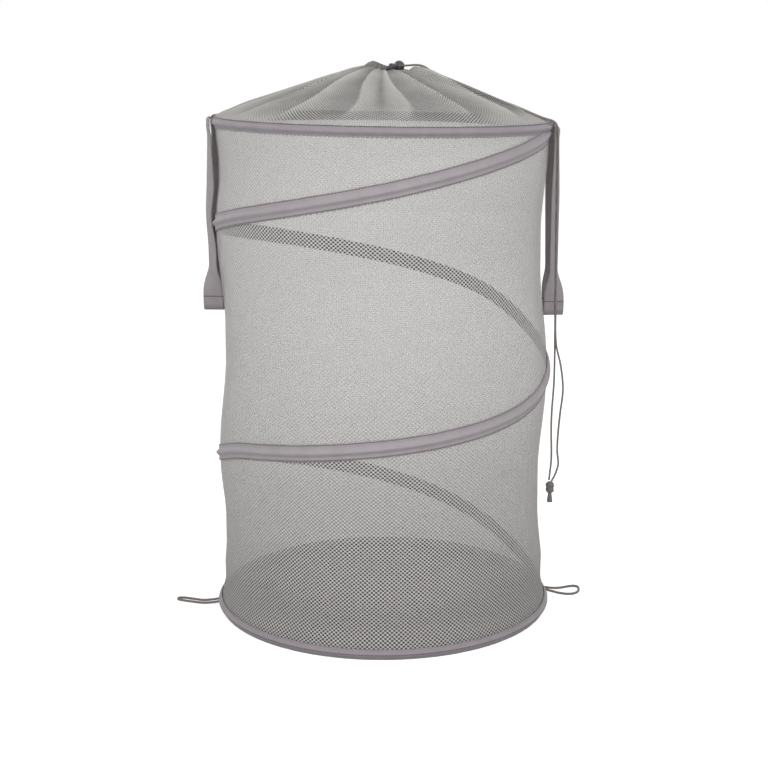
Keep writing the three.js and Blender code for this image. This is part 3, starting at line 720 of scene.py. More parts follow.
def knotPiece():
    # cord wrapped round itself above, frayed threads below
    piece = openTube("drawcord_knot", knot["sides"], knot["rows"], 1, knot["rows"], caps="NGON")
    points = readPoints(piece)
    around = np.arctan2(points[:, 1], points[:, 0])
    radii, heights = (np.array(column)[::-1] for column in zip(*knot["outline"]))
    steps = np.hypot(np.diff(radii) * knot["radius"], np.diff(heights) * knot["length"])
    path = np.concatenate([[0], np.cumsum(steps)])
    at = points[:, 2] / knot["rows"] * path[-1]
    radius = np.interp(at, path, radii) * knot["radius"]
    height = np.interp(at, path, heights) * knot["length"]
    upper = smooth(height / knot["length"], *knot["wrapFrom"])
    wraps = np.sin(knot["wraps"] * around + height * knot["wrapLean"]) * knot["wrapDepth"]
    threads = np.sin(knot["threads"] * around) * knot["threadDepth"]
    wrap = wraps * upper + threads * (1 - upper)
    radius = np.maximum(radius * (1 + knot["relief"] * wrap), knot["leastRadius"])
    writePoints(piece, knot["place"] + np.stack([
        radius * np.cos(around), radius * np.sin(around), height,
    ], axis=1))
    # the wraps' grooves darken the cord's colour through this relief: painted shade
    writeAttribute(piece, "relief", 0.5 + 0.5 * wrap)
    finishPiece(piece, "cord", "rim", "cord_knot")
    foldDown(piece)
    return piece


def addCords():
    drawKnot = knotPiece()
    for strand in "ab":
        cordPiece(
            f"drawcord_over_cover_{strand}", cord["topRoutes"][strand], "rim",
            f"draw_cord_top_{strand}", cord["diameter"], far_end="object", lay="loose",
        )
        tail = cordPiece(
            f"drawcord_tail_{strand}", cord["tailRoutes"][strand], "rim",
            f"draw_cord_tail_{strand}", cord["diameter"], far_end="knot", lay="hanging",
            with_pieces=[drawKnot],
        )
        foldDown(tail)
    for side, route in cord["tieRoutes"].items():
        cordPiece(
            f"tie_loop_{side}", route, "base", f"{side}_tie_loop", cord["tieDiameter"],
            far_end="object", lay="loose",
        )


addCords()

print("stage: mesh cloth of the wall")

wall = {
    "around": 384, "rows": 150, "middle": 0.5, "thickness": 0.5, "waistDepth": 0.03, "edgeRoom": 0.3,
    "lap": 0.1, "waistEnds": 0.42, "holeLevel": 0.02, "footDepth": 4.2, "footFrom": 11, "footTo": 34,
    "footEnd": 150, "coilRoom": 30, "tone": 0.5, "frontLight": 0.2, "footShade": 0.7, "footShadeHeights": (10, 150),
    "least": 1e-6,
}


def clothShell(piece, outer, inner, thickness):
    # a second layer of net a thread's thickness inside the first, each with its own finish
    piece.data.materials.append(cloths[outer])
    piece.data.materials.append(cloths[inner])
    applied(piece, "SOLIDIFY", thickness=thickness * mm, offset=0, material_offset=1)


def bandDepth(height, upper, lower, upperRoom, lowerRoom):
    # how far the cloth is drawn in at a height between two tapes
    tall = np.maximum(upper - lower, wall["least"])
    above = np.minimum(upperRoom, tall * wall["edgeRoom"])
    below = np.minimum(lowerRoom, tall * wall["edgeRoom"])
    share = (height - lower - below) / np.maximum(tall - above - below, wall["least"])
    rise = smooth(np.minimum(share, 1 - share), 0, wall["waistEnds"])
    return wall["waistDepth"] * tall * rise


def wallRadius(angle, height):
    # the cloth lies on the tapes of the hoops and of the coil's two turns, and draws in between them
    turns = (-angle / (2 * math.pi)) % 1
    top = wallTop(angle)
    first, second = coilHeight(turns), coilHeight(turns + 1)
    hoopLap = hoop["halfTape"] + hoop["wallAboveHoop"]
    bottomLap = 2 * hoop["halfTape"] - hoop["wallBottom"]
    upperLap = hoopLap + (coil["halfTape"] - hoopLap) * smooth(turns, 0, wall["lap"])
    lowerLap = coil["halfTape"] + (bottomLap - coil["halfTape"]) * smooth(turns, 1 - wall["lap"], 1)
    depth = np.where(
        height > first,
        bandDepth(height, top, first, hoopLap, coil["halfTape"]),
        np.where(
            height > second,
            bandDepth(height, first, second, upperLap, lowerLap),
            bandDepth(height, second, hoop["wallBottom"], coil["halfTape"], bottomLap),
        ),
    )
    # above the base hoop the cloth is held in, and flares out to the hoop's tape only at its foot
    foot = smooth(height, wall["footFrom"], wall["footTo"])
    foot = foot * (1 - smooth(height, wall["footTo"], wall["footEnd"]))
    fromCoil = np.abs(height - np.where(height > second, first, second))
    clear = smooth(fromCoil, coil["halfTape"], wall["coilRoom"])
    return hoop["wall"] - wall["middle"] - np.maximum(depth, wall["footDepth"] * foot * clear)


def meshWall():
    piece = openTube("wall_cloth", wall["around"], wall["rows"], hoop["wall"], hoop["topHeight"])
    points = readPoints(piece)
    angle = np.arctan2(points[:, 1], points[:, 0])
    share = points[:, 2] / hoop["topHeight"]
    height = hoop["wallBottom"] + share * (wallTop(angle) - hoop["wallBottom"])
    radius = wallRadius(angle, height)
    writePoints(piece, np.stack([radius * np.cos(angle), radius * np.sin(angle), height], axis=1))
    writeAttribute(piece, "gather", wall["holeLevel"] + np.zeros(len(points)))
    # the far side's veil thickens towards the bottom, darkening what shows through there: painted shade
    # for the shaded floor seen through the lower wall
    writeAttribute(piece, "veil", net["farCover"] + net["farCoverShadeLow"] * (1 - share) ** 2)
    # painted light: the net is paler on its front and darker on its back, and painted shade darkens it
    # towards its foot
    front = np.cos(angle + math.pi / 2)
    footShadeMask = 1 - smooth(height, *wall["footShadeHeights"])
    paintedLight = wall["tone"] + wall["frontLight"] * front - wall["footShade"] * footShadeMask
    writeAttribute(piece, "paintedLight", paintedLight)
    clothShell(piece, "wallOuter", "wallInner", wall["thickness"])
    finishPiece(piece, None, "base", "wall_mesh")
    foldDown(piece)


meshWall()

print("stage: binding tapes")

tape = {
    "margin": 199.75, "crown": 203.2, "crownHalf": 0.4, "foot": 5.2, "thickness": 0.6,
    "pucker": 0.34, "wander": 0.22, "hoopSteps": 540, "rows": 20, "coilSteps": 1125,
    "seams": {"base": 0.4, "rim": 5.4, "coil": 8.6}, "leastEdge": 0.5, "puckerLean": 0.002,
    "floorGap": 0.02, "underRim": 0.6, "coilLowest": 0.6,
    "puckerWaves": [(97, 0.4, 0.3), (141, 0.3, 1.9), (61, 0.3, 4.1)],
    "wanderWaves": [(23, 0.5, 0.8), (41, 0.3, 2.2), (89, 0.2, 5.0)],
}


def ripple(turns, waves):
    # an uneven wave that closes after a full turn; each part has its count, its weight and its phase
    return sum(
        weight * np.sin(2 * math.pi * count * turns + phase)
        for count, weight, phase in waves
    )


def tapeShape(turns, across, half):
    # across runs from -1 to 1 over the tape; gives radius, height from the wire, and the ridge, a painted
    # highlight
    place = across * half
    crown = 0.5 * (1 + np.cos(math.pi * np.clip(
        (np.abs(place) - tape["crownHalf"]) / (tape["foot"] - tape["crownHalf"]), 0, 1,
    )))
    edge = np.clip((np.abs(place) - tape["foot"]) / max(half - tape["foot"], tape["leastEdge"]), 0, 1)
    waves = 0.5 + 0.5 * ripple(turns + across * tape["puckerLean"], tape["puckerWaves"])
    pucker = tape["pucker"] * edge * waves
    radius = tape["margin"] + (tape["crown"] - tape["margin"]) * crown + pucker
    height = place + tape["wander"] * edge * ripple(turns, tape["wanderWaves"])
    return radius, height, crown


def lineTape(piece, cloth):
    # the tape's thickness, with its inside face darker towards the inside of the hamper: painted shade
    piece.data.materials.append(cloths[cloth])
    piece.data.materials.append(cloths["tapeInsideShaded"])
    applied(piece, "SOLIDIFY", thickness=tape["thickness"] * mm, offset=-1, material_offset=1)


def hoopTape(name, wire):
    piece = openTube(name, tape["hoopSteps"], tape["rows"], hoop["radius"], tape["rows"])
    points = readPoints(piece)
    angle = np.arctan2(points[:, 1], points[:, 0])
    across = points[:, 2] / tape["rows"] * 2 - 1
    radius, height, ridgeLight = tapeShape(angle / (2 * math.pi), across, hoop["halfTape"])
    if wire == "base":
        height = np.maximum(height, -hoop["halfTape"] + tape["floorGap"])
    writePoints(piece, np.stack([radius * np.cos(angle), radius * np.sin(angle), height], axis=1))
    writeAttribute(piece, "along", angle * hoop["radius"] * mm)
    writeAttribute(piece, "across", across * hoop["halfTape"] * mm)
    writeAttribute(piece, "ridgeLight", ridgeLight)
    writeAttribute(piece, "seam", np.abs(across * hoop["halfTape"] - tape["seams"][wire]))
    lineTape(piece, f"{wire}Tape")
    points = readPoints(piece)
    if wire == "base":
        writePoints(piece, points + (0, 0, hoop["halfTape"]))
    else:
        writePoints(piece, inRimFrame(points))
    return piece


def coilBinding():
    piece = gridSheet("coil_binding", tape["coilSteps"], tape["rows"])
    points = readPoints(piece)
    degrees = coil["firstAngle"] + points[:, 0] * (coil["lastAngle"] - coil["firstAngle"])
    turns = degrees / 360
    across = points[:, 1] * 2 - 1
    angle = -2 * math.pi * turns
    half = coil["halfTape"]
    radius, height, ridgeLight = tapeShape(turns, across, half)
    # its ends slip under the tapes of the two hoops
    fromEnd = np.minimum(degrees - coil["firstAngle"], coil["lastAngle"] - degrees)
    radius = radius - coil["tuck"] * (1 - smooth(fromEnd, 0, coil["tuckOver"]))
    underRim = hoop["topHeight"] + hoop["halfTape"] * tape["underRim"]
    underRim = underRim - hoop["wireRing"] * np.cos(angle) * math.sin(tilt)
    height = coilHeight(turns) + height
    height = np.clip(height, tape["coilLowest"], np.where(turns < 1, underRim, np.inf))
    writePoints(piece, np.stack([radius * np.cos(angle), radius * np.sin(angle), height], axis=1))
    writeAttribute(piece, "along", turns * 2 * math.pi * hoop["radius"] * mm)
    writeAttribute(piece, "across", across * half * mm)
    writeAttribute(piece, "ridgeLight", ridgeLight)
    writeAttribute(piece, "seam", np.abs(np.abs(across) * half - tape["seams"]["coil"]))
    # the grid's faces look inwards when it is bent this way, so they are turned round
    piece.data.flip_normals()
    lineTape(piece, "coilTape")
    return piece


def coilWire():
    # the wire's two open turns, between the places where it leaves the hoops
    lowest, highest = (corner[2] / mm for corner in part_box("coil_wire"))
    turns = np.linspace(0, coil["turns"], coil["wireSteps"] + 1)
    height = coilHeight(turns)
    radius = coil["wire"] / 2
    clear = (height >= lowest + radius) & (height <= highest - radius)
    turns, height = turns[clear], height[clear]
    angle = -2 * math.pi * turns
    ring = hoop["wireRing"]
    line = np.stack([ring * np.cos(angle), ring * np.sin(angle), height], axis=1)

    def evenRadius(around, along):
        return np.full(len(around), radius), np.zeros(len(around))

    piece = tubeAlong("coil_spring_wire", line, evenRadius, coil["wireSides"])
    finishPiece(piece, "steel", "base", "coil_wire")
    foldDown(piece)


def addTapes():
    base = hoopTape("base_tape", "base")
    finishPiece(base, None, "base", "base_hoop_tape")
    rim = hoopTape("rim_binding", "rim")
    finishPiece(rim, None, "rim", "top_hoop_tape")
    binding = coilBinding()
    finishPiece(binding, None, "base", "coil_tape")
    foldDown(binding)
    coilWire()


addTapes()

print("stage: drawstring cover")

cover = {
    "skirtBottom": 2.4, "around": 640, "across": 64, "length": 212, "thickness": 0.5,
    "outline": [
        (198.65, 6, 0), (190, 10.8, 0.4), (180, 15.2, 1), (170, 19.9, 1.6), (160, 24, 2.2),
        (140, 30.9, 3.2), (120, 37.8, 4.1), (100, 44.9, 4.8), (80, 51.8, 5), (60, 58, 4.6),
        (40, 63.4, 3.6), (28, 65.2, 2.6), (18, 65.4, 1.8), (12, 64.4, 1.2), (8.5, 63.2, 0.8),
    ],
    "neckLift": 2.4, "liftFrom": (60, 20), "liftAngle": 0.9,
    "ridges": [-96, -77, -58, -38.6, -13, 8.5, 31, 57, 76, 97, 121, 144, 168, 192, 215, 240],
    "lapsTurnAt": -2, "step": 0.13, "curl": 0.05, "curlLength": 30, "fallPower": 1.5,
    "uneven": 0.25, "unevenStep": 2.4,
    "holeLevel": -0.1, "gathered": 1.5, "gatherPower": 1.7, "lapClosed": 0.35, "lapFrom": (0.5, 1),
    "sideClosed": 0.7, "sideFrom": (30, 48), "sideEnd": (0.1, 0.35), "veil": 0.12, "veilNeck": 0.5,
}
coverLightAndShade = {
    "middle": 0.42, "fold": 1.15, "foldFrom": (0, 0.2), "front": 0.3, "frontHalf": 16,
    "crease": 0.5, "creaseAt": -1, "creaseHalf": 2.6, "creaseFrom": (0.1, 0.3),
    "neck": 0.7, "neckFrom": (0.72, 0.93), "neckFront": 0.6,
    "pinch": 0.9, "pinches": (-25, 4, 33), "pinchHalf": 5, "pinchFrom": (0.88, 0.93),
    "cordFold": 0.5, "cordFoldHalf": 4, "dots": 0.15,
}
cordFold = {
    "from": (26, 38), "to": (150, 172), "crestFrom": (42, 60), "pastLock": (44, 58),
    "ahead": 6, "aheadOfLock": 5.5, "under": 1.5, "crest": 3.8, "hollow": 2.6, "clear": 2.5,
    "front": 11, "back": 10, "dots": 9, "dotsHalf": 6, "dotsOpen": 0.8,
}


def bell(distance, half):
    return np.exp(-(distance / half) ** 2)


def foldPlace(angle):
    # where a point lies between two ridges of the gathered cloth: 0 just past one, 1 at the next
    first = cover["ridges"][0]
    aside = (np.degrees(angle) + 90 - first) % 360 + first
    ridges = np.array(cover["ridges"] + [first + 360])
    index = np.clip(np.searchsorted(ridges, aside, side="right") - 1, 0, len(ridges) - 2)
    place = (aside - ridges[index]) / (ridges[index + 1] - ridges[index])
    # the laps open away from the middle of the front
    return np.where(aside < cover["lapsTurnAt"], 1 - place, place), index


def coverPoint(angle, share):
    # radius and height above the rim's middle, then the place between two ridges and the fall from one
    radii, rises, depths = (np.array(column, dtype=float) for column in zip(*cover["outline"]))
    lengths = np.concatenate([[0], np.cumsum(np.hypot(np.diff(radii), np.diff(rises)))])
    skirt = rises[0] - cover["skirtBottom"]
    at = share * (lengths[-1] + skirt) - skirt
    radius = np.interp(at, lengths, radii)
    rise = np.interp(at, lengths, rises)
    depth = np.interp(at, lengths, depths)
    place, index = foldPlace(angle + cover["curl"] * np.sin(radius / cover["curlLength"]))
    lap = smooth(place, 0, cover["step"])
    fall = np.where(place < cover["step"], 1 - lap, (place - cover["step"]) / (1 - cover["step"]))
    uneven = 1 - cover["uneven"] + cover["uneven"] * np.sin(index * cover["unevenStep"])
    fall = fall ** cover["fallPower"] * uneven
    lift = cover["neckLift"] * smooth(-radius, -cover["liftFrom"][0], -cover["liftFrom"][1])
    rise = rise - depth * (1 - fall) + lift * np.sin(angle - cover["liftAngle"])
    onSkirt = at < 0
    rise = np.where(onSkirt, cover["outline"][0][1] + at, rise)
    return np.where(onSkirt, hoop["wall"], radius), rise, place, fall


def foldBesideCord(points):
    # A fold of the cover stands up in front of the drawcord, which lies in the hollow behind it. By the
    # lock the hollow is wide and deep, so that the lock can slide there. Gives the new heights, how far
    # each point is behind the fold's crest, and how strong the fold is there.
    x, y, z = points.T
    near, far = (np.array(cord["topRoutes"][strand]) for strand in "ba")
    nearY, farY = np.interp(x, near[:, 0], near[:, 1]), np.interp(x, far[:, 0], far[:, 1])
    floor = np.interp(x, near[:, 0], near[:, 2]) - cordFold["under"]
    strength = smooth(x, *cordFold["from"]) * (1 - smooth(x, *cordFold["to"]))
    crested = smooth(x, *cordFold["crestFrom"])
    crest = floor + cordFold["crest"] * crested
    pastLock = smooth(x, *cordFold["pastLock"])
    behind = y - nearY + cordFold["ahead"] + cordFold["aheadOfLock"] * (1 - pastLock)
    past = y - farY - cordFold["clear"]
    ground = z + (floor - z) * pastLock
    target = ground + (crest - ground) * bell(np.maximum(behind, 0), cordFold["hollow"])
    reach = np.where(
        behind < 0, bell(behind, cordFold["front"]), bell(np.maximum(past, 0), cordFold["back"]),
    )
    raised = (target - z) * reach * strength
    inHollow = (behind > 0) & (past < 0)
    return z + np.where((raised > 0) | inHollow, raised, 0), behind, strength * crested


def coverGather(aside, inward, place, dotted):
    # the net closes towards the neck, on each lap's far side and low on the hamper's sides
    gather = cover["holeLevel"] + cover["gathered"] * np.clip(inward, 0, 1) ** cover["gatherPower"]
    gather = gather + cover["lapClosed"] * smooth(place, *cover["lapFrom"]) * inward
    sideways = smooth(np.abs(aside), *cover["sideFrom"]) * (1 - smooth(inward, *cover["sideEnd"]))
    return (gather + cover["sideClosed"] * sideways) * (1 - cordFold["dotsOpen"] * dotted)


def coverPaintedLight(aside, inward, fall, cordFoldLight):
    # painted light: pale on the laps' lit sides, the ridges and the front; painted shade: dark in the
    # creases, the pinches and round the neck
    front = bell(aside, coverLightAndShade["frontHalf"])
    lit = coverLightAndShade["fold"] * (fall - 0.5) * smooth(inward, *coverLightAndShade["foldFrom"])
    lit = lit + coverLightAndShade["front"] * front
    crease = bell(aside - coverLightAndShade["creaseAt"], coverLightAndShade["creaseHalf"])
    crease = crease * smooth(inward, *coverLightAndShade["creaseFrom"])
    neck = smooth(inward, *coverLightAndShade["neckFrom"]) * (1 - coverLightAndShade["neckFront"] * front)
    pinchShade = sum(bell(aside - pinch, coverLightAndShade["pinchHalf"]) for pinch in coverLightAndShade["pinches"])
    pinchShade = pinchShade * smooth(inward, *coverLightAndShade["pinchFrom"])
    dark = coverLightAndShade["neck"] * neck + coverLightAndShade["pinch"] * pinchShade + coverLightAndShade["crease"] * crease
    return coverLightAndShade["middle"] + lit + cordFoldLight - dark


def addCover():
    piece = openTube(
        "drawstring_cover_cloth", cover["around"], cover["across"], hoop["wall"], cover["length"],
    )
    points = readPoints(piece)
    angle = np.arctan2(points[:, 1], points[:, 0])
    radius, height, place, fall = coverPoint(angle, points[:, 2] / cover["length"])
    placed = inRimFrame(np.stack([radius * np.cos(angle), radius * np.sin(angle), height], axis=1))
    placed[:, 2], behind, folded = foldBesideCord(placed)
    writePoints(piece, placed)
    inward = 1 - radius / hoop["wall"]
    aside = np.degrees(angle) + 90
    dotted = bell(behind + cordFold["dots"], cordFold["dotsHalf"]) * folded
    # painted highlight on the fold's crest in front of the cord, and painted shade on the dotted band
    # ahead of it
    cordFoldLight = folded * (
        coverLightAndShade["cordFold"] * bell(behind, coverLightAndShade["cordFoldHalf"]) - coverLightAndShade["dots"] * dotted
    )
    writeAttribute(piece, "gather", coverGather(aside, inward, place, dotted))
    writeAttribute(piece, "veil", net["farCover"] + cover["veil"] + cover["veilNeck"] * inward)
    writeAttribute(piece, "paintedLight", coverPaintedLight(aside, inward, fall, cordFoldLight))
    clothShell(piece, "coverOuter", "coverInner", cover["thickness"])
    finishPiece(piece, None, "rim", "drawstring_cover")


addCover()

hem = {
    "inner": 7, "height": 65.3, "highAngle": 166, "highPower": 2.6, "exitAngle": 3, "exitHalf": 14,
    "steps": 352, "rows": 24, "thickness": 0.5, "pleats": 19, "pleat": 1.5, "drift": 1.1, "drifts": 5,
    "crimp": 0.4, "crimps": 31, "crimpPhase": 0.8, "depthLow": 0.65, "depthLess": 0.4, "lift": 0.5,
    "pleatLight": 0.45, "lowSideLight": 0.1,
    "outline": [
        (0.4, -2.1, 0, 0, 0), (0.2, 0.1, 0, 0.8, 0.1), (0.6, 1, 0.8, 4.9, 0.3),
        (2.2, 1.5, 2.8, 6.1, 0.7), (3.8, 0.8, 6.2, 4.8, 1), (4.6, -0.5, 10, 2.6, 1.1),
        (4.8, -1.9, 13.8, -0.1, 0.9),
    ],
}


def neckHem():
    # The channel of the drawcord and the ruffle above it, which stands up on the side away from the lock.
    # The outline gives radius and height on the low side, then what the high side adds, and the pleats'
    # share.
    piece = gridSheet("neck_hem_gathered", hem["steps"], hem["rows"])
    points = readPoints(piece)
    start = math.radians(hem["exitAngle"] + hem["exitHalf"])
    angle = start + points[:, 0] * (2 * math.pi - 2 * math.radians(hem["exitHalf"]))
    level = points[:, 1] * (len(hem["outline"]) - 1)
    out, up, outHigh, upHigh, share = (
        np.interp(level, range(len(hem["outline"])), column) for column in zip(*hem["outline"])
    )
    fromExit = (1 - np.cos(angle - math.radians(hem["exitAngle"]))) / 2
    high = (0.5 + 0.5 * np.cos(angle - math.radians(hem["highAngle"]))) ** hem["highPower"]
    drift = hem["drift"] * np.sin(hem["drifts"] * angle)
    crimp = hem["crimp"] * np.sin(hem["crimps"] * angle + hem["crimpPhase"])
    wave = np.sin(hem["pleats"] * angle + drift) + crimp
    pleat = hem["pleat"] * share * np.sqrt(fromExit) * wave * (hem["depthLow"] - hem["depthLess"] * high)
    radius = hem["inner"] + out + outHigh * high + pleat
    height = hem["height"] + up + upHigh * high + hem["lift"] * pleat
    writePoints(piece, np.stack([radius * np.cos(angle), radius * np.sin(angle), height], axis=1))
    # painted light and shade on the pleats, paler on their crests and darker in their folds, with painted
    # shade over the ruffle's low side
    ridgeLight = np.clip(0.5 + hem["pleatLight"] * wave, 0, 1)
    writeAttribute(piece, "ridgeLight", ridgeLight * (hem["lowSideLight"] + (1 - hem["lowSideLight"]) * high))
    applied(piece, "SOLIDIFY", thickness=hem["thickness"] * mm, offset=0)
    writePoints(piece, inRimFrame(readPoints(piece)))
    finishPiece(piece, "hem", "rim", "neck_hem")


neckHem()

print("stage: handles")

strap = {
    "width": 24, "thickness": 1.4, "drop": 221, "halfSpacing": 33, "bend": 11, "pivotDrop": 7,
    "turn": 26, "turnOver": (0.0, 0.4), "foldTurn": 86, "foldOver": (0.78, 0.97),
    "topTurn": {"left": 4, "right": 7}, "topOut": {"left": 2.6, "right": 4.6},
    "liftFrom": {"left": 2.5, "right": -4},
    "standOut": {"left": 1.2, "right": 3.6}, "foldOut": {"left": 1.8, "right": 4.7},
    "coilLevel": {"left": 0.5, "right": -1}, "coilOut": 3, "coilHalf": 0.2, "coilTurn": 0.25,
    "steps": 420, "topSteps": 48, "rows": 12, "gap": 0.3, "sewnAbove": 5.8, "hemFromMiddle": 24,
    "blendFrom": 4, "blendTo": 13, "blendEarly": 3, "blendAbove": 2, "edge": 0.9, "edgeLight": 0.3,
    "boxAcross": 0.8, "boxHigh": 4.4, "boxReach": 5.4, "noSeam": 9,
}
outward = {"left": -1, "right": 1}
strapAngle = math.asin(strap["halfSpacing"] / hoop["radius"])
endRadius = hoop["radius"] + strap["gap"] + strap["thickness"] / 2
strapStraight = strap["drop"] - strap["bend"]
strapLeg = math.hypot(strapStraight, strap["halfSpacing"] - strap["bend"])
strapLength = 2 * strapLeg + math.pi * strap["bend"]
pivots = {
    side: inRimFrame(np.array([[flip * endRadius * math.cos(strapAngle), 0, -strap["pivotDrop"]]]))[0]
    for side, flip in outward.items()
}


def strapLine(along, across, side):
    # The strap's middle surface in the handle's own frame: wall on the -X side, pivot at the origin. The
    # strands turn round the wall, and face sideways where the loop is folded at its foot. Gives the
    # points and how far along the strap each one is.
    run = along * strapLength
    half = np.where(run < strapLength / 2, -1.0, 1.0)
    fromEnd = np.minimum(run, strapLength - run)
    share = np.minimum(1, fromEnd / strapLeg)
    bend = np.maximum(0, fromEnd - strapLeg) / strap["bend"]
    aside = np.where(
        bend > 0, strap["bend"] * np.cos(bend),
        strap["halfSpacing"] + (strap["bend"] - strap["halfSpacing"]) * share,
    )
    down = np.where(bend > 0, -strapStraight - strap["bend"] * np.sin(bend), -strapStraight * share)
    fold = smooth(share, *strap["foldOver"])
    overCoil = 1 - smooth(np.abs(share - strap["coilLevel"][side]), 0, strap["coilHalf"])
    # at the rim the strap lies along the hoop, a little turned
    first = math.degrees(strapAngle) + strap["topTurn"][side]
    later = strap["turn"] * (1 - strap["coilTurn"] * overCoil)
    turn = first + (later - first) * smooth(share, *strap["turnOver"])
    twist = -np.radians(turn + (strap["foldTurn"] - turn) * fold)
    reach = strap["standOut"][side] + strap["coilOut"] * overCoil
    reach = reach + (strap["foldOut"][side] - reach) * fold
    widthWay = np.stack([np.sin(twist), half * np.cos(twist), np.zeros_like(twist)], axis=1)
    middle = np.stack([reach, half * aside, down], axis=1)
    return middle + widthWay * (across * strap["width"] / 2)[:, None], run


def handleFrame(points, side):
    # from the handle's own frame to the object's: turned for the left one, hung plumb on the leaning rim
    return points * (outward[side], outward[side], 1) + pivots[side]


def strapFinish(piece, run, across, seam):
    writeAttribute(piece, "along", run * mm)
    writeAttribute(piece, "across", across * strap["width"] / 2 * mm)
    # the strap's edges drawn paler: a painted highlight
    writeAttribute(piece, "ridgeLight", strap["edgeLight"] * (np.abs(across) > strap["edge"]))
    writeAttribute(piece, "seam", seam)
    applied(piece, "SOLIDIFY", thickness=strap["thickness"] * mm, offset=0)


def handleLoop(side):
    piece = gridSheet(f"{side}_strap_loop", strap["steps"], strap["rows"])
    points = readPoints(piece)
    across = points[:, 1] * 2 - 1
    cut = strap["blendTo"] / strapLength
    shaped, run = strapLine(cut + points[:, 0] * (1 - 2 * cut), across, side)
    writePoints(piece, handleFrame(shaped, side))
    strapFinish(piece, run, across, np.abs(np.abs(run - strapLength / 2) - strap["hemFromMiddle"]))
    finishPiece(piece, "strap", f"{side}_handle", f"{side}_handle")
    foldDown(piece)


def handleTop(side, way, name):
    # the end that is sewn on the rim tape, and the stretch that bends at the pivot
    piece = gridSheet(name, strap["topSteps"], strap["rows"])
    points = readPoints(piece)
    across = points[:, 1] * 2 - 1
    high, low = strap["sewnAbove"], strap["pivotDrop"] + strap["blendTo"]
    down = high - points[:, 0] * (high + low)
    strand = outward[side] * way
    middle = (0 if side == "right" else math.pi) + strand * strapAngle
    angle = middle + strand * across * strap["width"] / 2 / hoop["radius"]
    lifted = 1 - smooth(down, strap["liftFrom"][side], high)
    turned = across * strap["width"] / 2 * np.sin(np.radians(strap["topTurn"][side]) * lifted)
    radius = endRadius + strap["topOut"][side] * lifted - turned
    sewn = inRimFrame(np.stack([radius * np.cos(angle), radius * np.sin(angle), down], axis=1))
    below = np.maximum(0, -strap["pivotDrop"] - down) / strapLength
    hung, _ = strapLine(below if strand < 0 else 1 - below, across, side)
    hung = handleFrame(hung, side)
    share = smooth(-down, strap["blendFrom"], low - strap["blendEarly"])
    mixed = sewn * (1 - share)[:, None] + hung * share[:, None]
    mixed[:, 2] = np.where(down > -strap["pivotDrop"], sewn[:, 2], mixed[:, 2])
    writePoints(piece, mixed)
    # a box of stitches on the rim tape
    box = np.minimum(
        np.abs(np.abs(across) - strap["boxAcross"]) * strap["width"] / 2,
        np.abs(np.abs(down) - strap["boxHigh"]),
    )
    strapFinish(piece, down, across, np.where(np.abs(down) < strap["boxReach"], box, strap["noSeam"]))
    return piece


def addHandle(side):
    handleLoop(side)
    for way, end in ((-1, "front"), (1, "back")):
        piece = handleTop(side, way, f"{side}_strap_{end}_top")
        finishPiece(piece, "strap", None, f"{side}_handle_{end}_end")
        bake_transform(piece)


for side in outward:
    addHandle(side)

print("stage: base panel and tabs")

panel = {
    "radius": 198.4, "thickness": 0.8, "top": 1.05, "rings": 26, "around": 120, "lowest": 0.01,
    "sag": 0.147, "wrinkle": 0.105, "flatEdge": 20, "length": (23, 29, 13), "bow": 0.6, "bowLength": 31,
    "phase": 1.3, "fine": 0.4,
}
tab = {
    "size": (36, 26), "thickness": 1.1, "top": 2.6, "crown": 0.2, "crownEdge": 8,
    "seamScale": 10, "seamIn": 1.5,
    "places": {"left": (-0.795, 0.216, -0.25), "right": (0.785, 0.216, 0.4)},
}


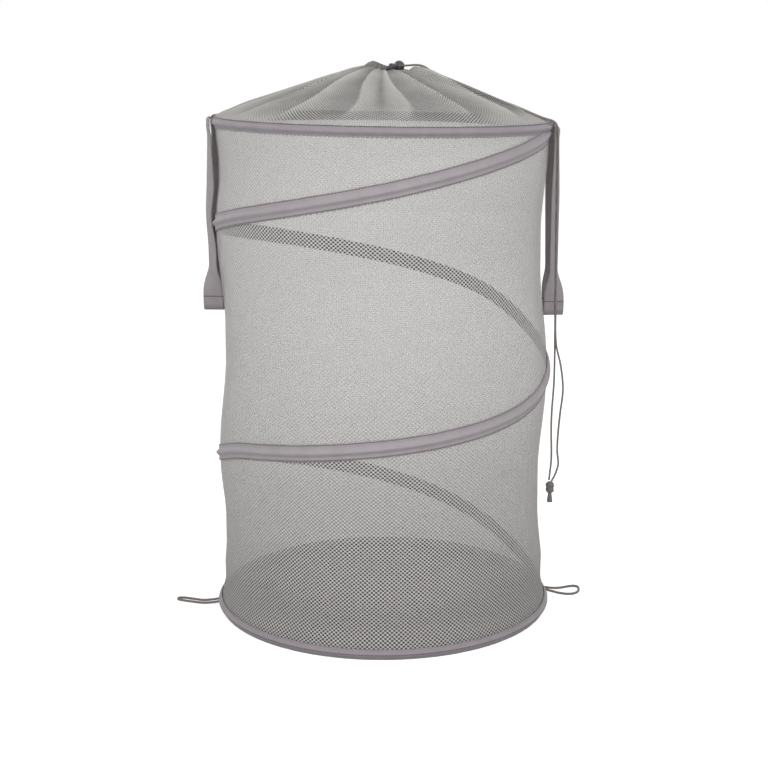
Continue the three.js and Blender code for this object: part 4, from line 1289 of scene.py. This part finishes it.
def basePanel():
    startPiece()
    bpy.ops.mesh.primitive_circle_add(
        vertices=panel["around"], radius=panel["radius"] * mm, fill_type="NGON",
    )
    piece = nameActive("base_panel_cloth")
    bpy.ops.object.mode_set(mode="EDIT")
    bpy.ops.mesh.select_mode(type="FACE")
    bpy.ops.mesh.select_all(action="SELECT")
    for _ in range(panel["rings"]):
        bpy.ops.mesh.inset(thickness=panel["radius"] / (panel["rings"] + 1) * mm)
    bpy.ops.mesh.poke()
    bpy.ops.object.mode_set(mode="OBJECT")
    points = readPoints(piece)
    x, y = points[:, 0], points[:, 1]
    first, second, third = panel["length"]
    bow = panel["bow"] * np.sin(y / panel["bowLength"])
    wave = np.sin(x / first + bow) * np.sin(y / second + panel["phase"])
    wave = wave + panel["fine"] * np.sin((x + y) / third)
    inside = smooth(np.hypot(x, y), panel["radius"], panel["radius"] - panel["flatEdge"])
    points[:, 2] = panel["top"] - (panel["sag"] + panel["wrinkle"] * wave) * inside
    writePoints(piece, points)
    applied(piece, "SOLIDIFY", thickness=panel["thickness"] * mm, offset=-1)
    points = readPoints(piece)
    points[:, 2] = np.maximum(points[:, 2], panel["lowest"])
    writePoints(piece, points)
    finishPiece(piece, "panel", "base", "base_panel")


def tieTab(side):
    wide, deep = tab["size"]
    piece = gridSheet(f"{side}_woven_tab", wide, deep)
    points = readPoints(piece)
    shareX, shareY, turn = tab["places"][side]
    u, v = points[:, 0] - 0.5, points[:, 1] - 0.5
    across, along = u * wide, v * deep
    edge = np.minimum(0.5 - np.abs(u), 0.5 - np.abs(v)) * 2
    crown = np.sin(np.clip(edge * tab["crownEdge"], 0, math.pi / 2))
    writePoints(piece, np.stack([
        shareX * hoop["wall"] + across * math.cos(turn) - along * math.sin(turn),
        shareY * hoop["wall"] + across * math.sin(turn) + along * math.cos(turn),
        tab["top"] - tab["crown"] * (1 - crown),
    ], axis=1))
    writeAttribute(piece, "along", across * mm)
    writeAttribute(piece, "across", along * mm)
    writeAttribute(piece, "ridgeLight", np.zeros(len(points)))
    writeAttribute(piece, "seam", np.abs(edge * tab["seamScale"] - tab["seamIn"]))
    applied(piece, "SOLIDIFY", thickness=tab["thickness"] * mm, offset=-1)
    finishPiece(piece, "tab", "base", f"{side}_tie_tab")


basePanel()
for side in tab["places"]:
    tieTab(side)

print("stage: metal and plastic pieces that stay as they were drawn")

kept = {
    "steel": ["base_hoop_wire", "top_hoop_wire", "base_crimp_sleeve", "top_crimp_sleeve",
              "cord_lock_spring"],
    "lock": ["cord_lock_body", "cord_lock_plunger"],
    "cord": ["neck_cord"],
}
for cloth, nodes in kept.items():
    for node in nodes:
        shown = bpy.data.objects[node]
        for socket in shown.material_slots:
            socket.material = cloths[cloth]
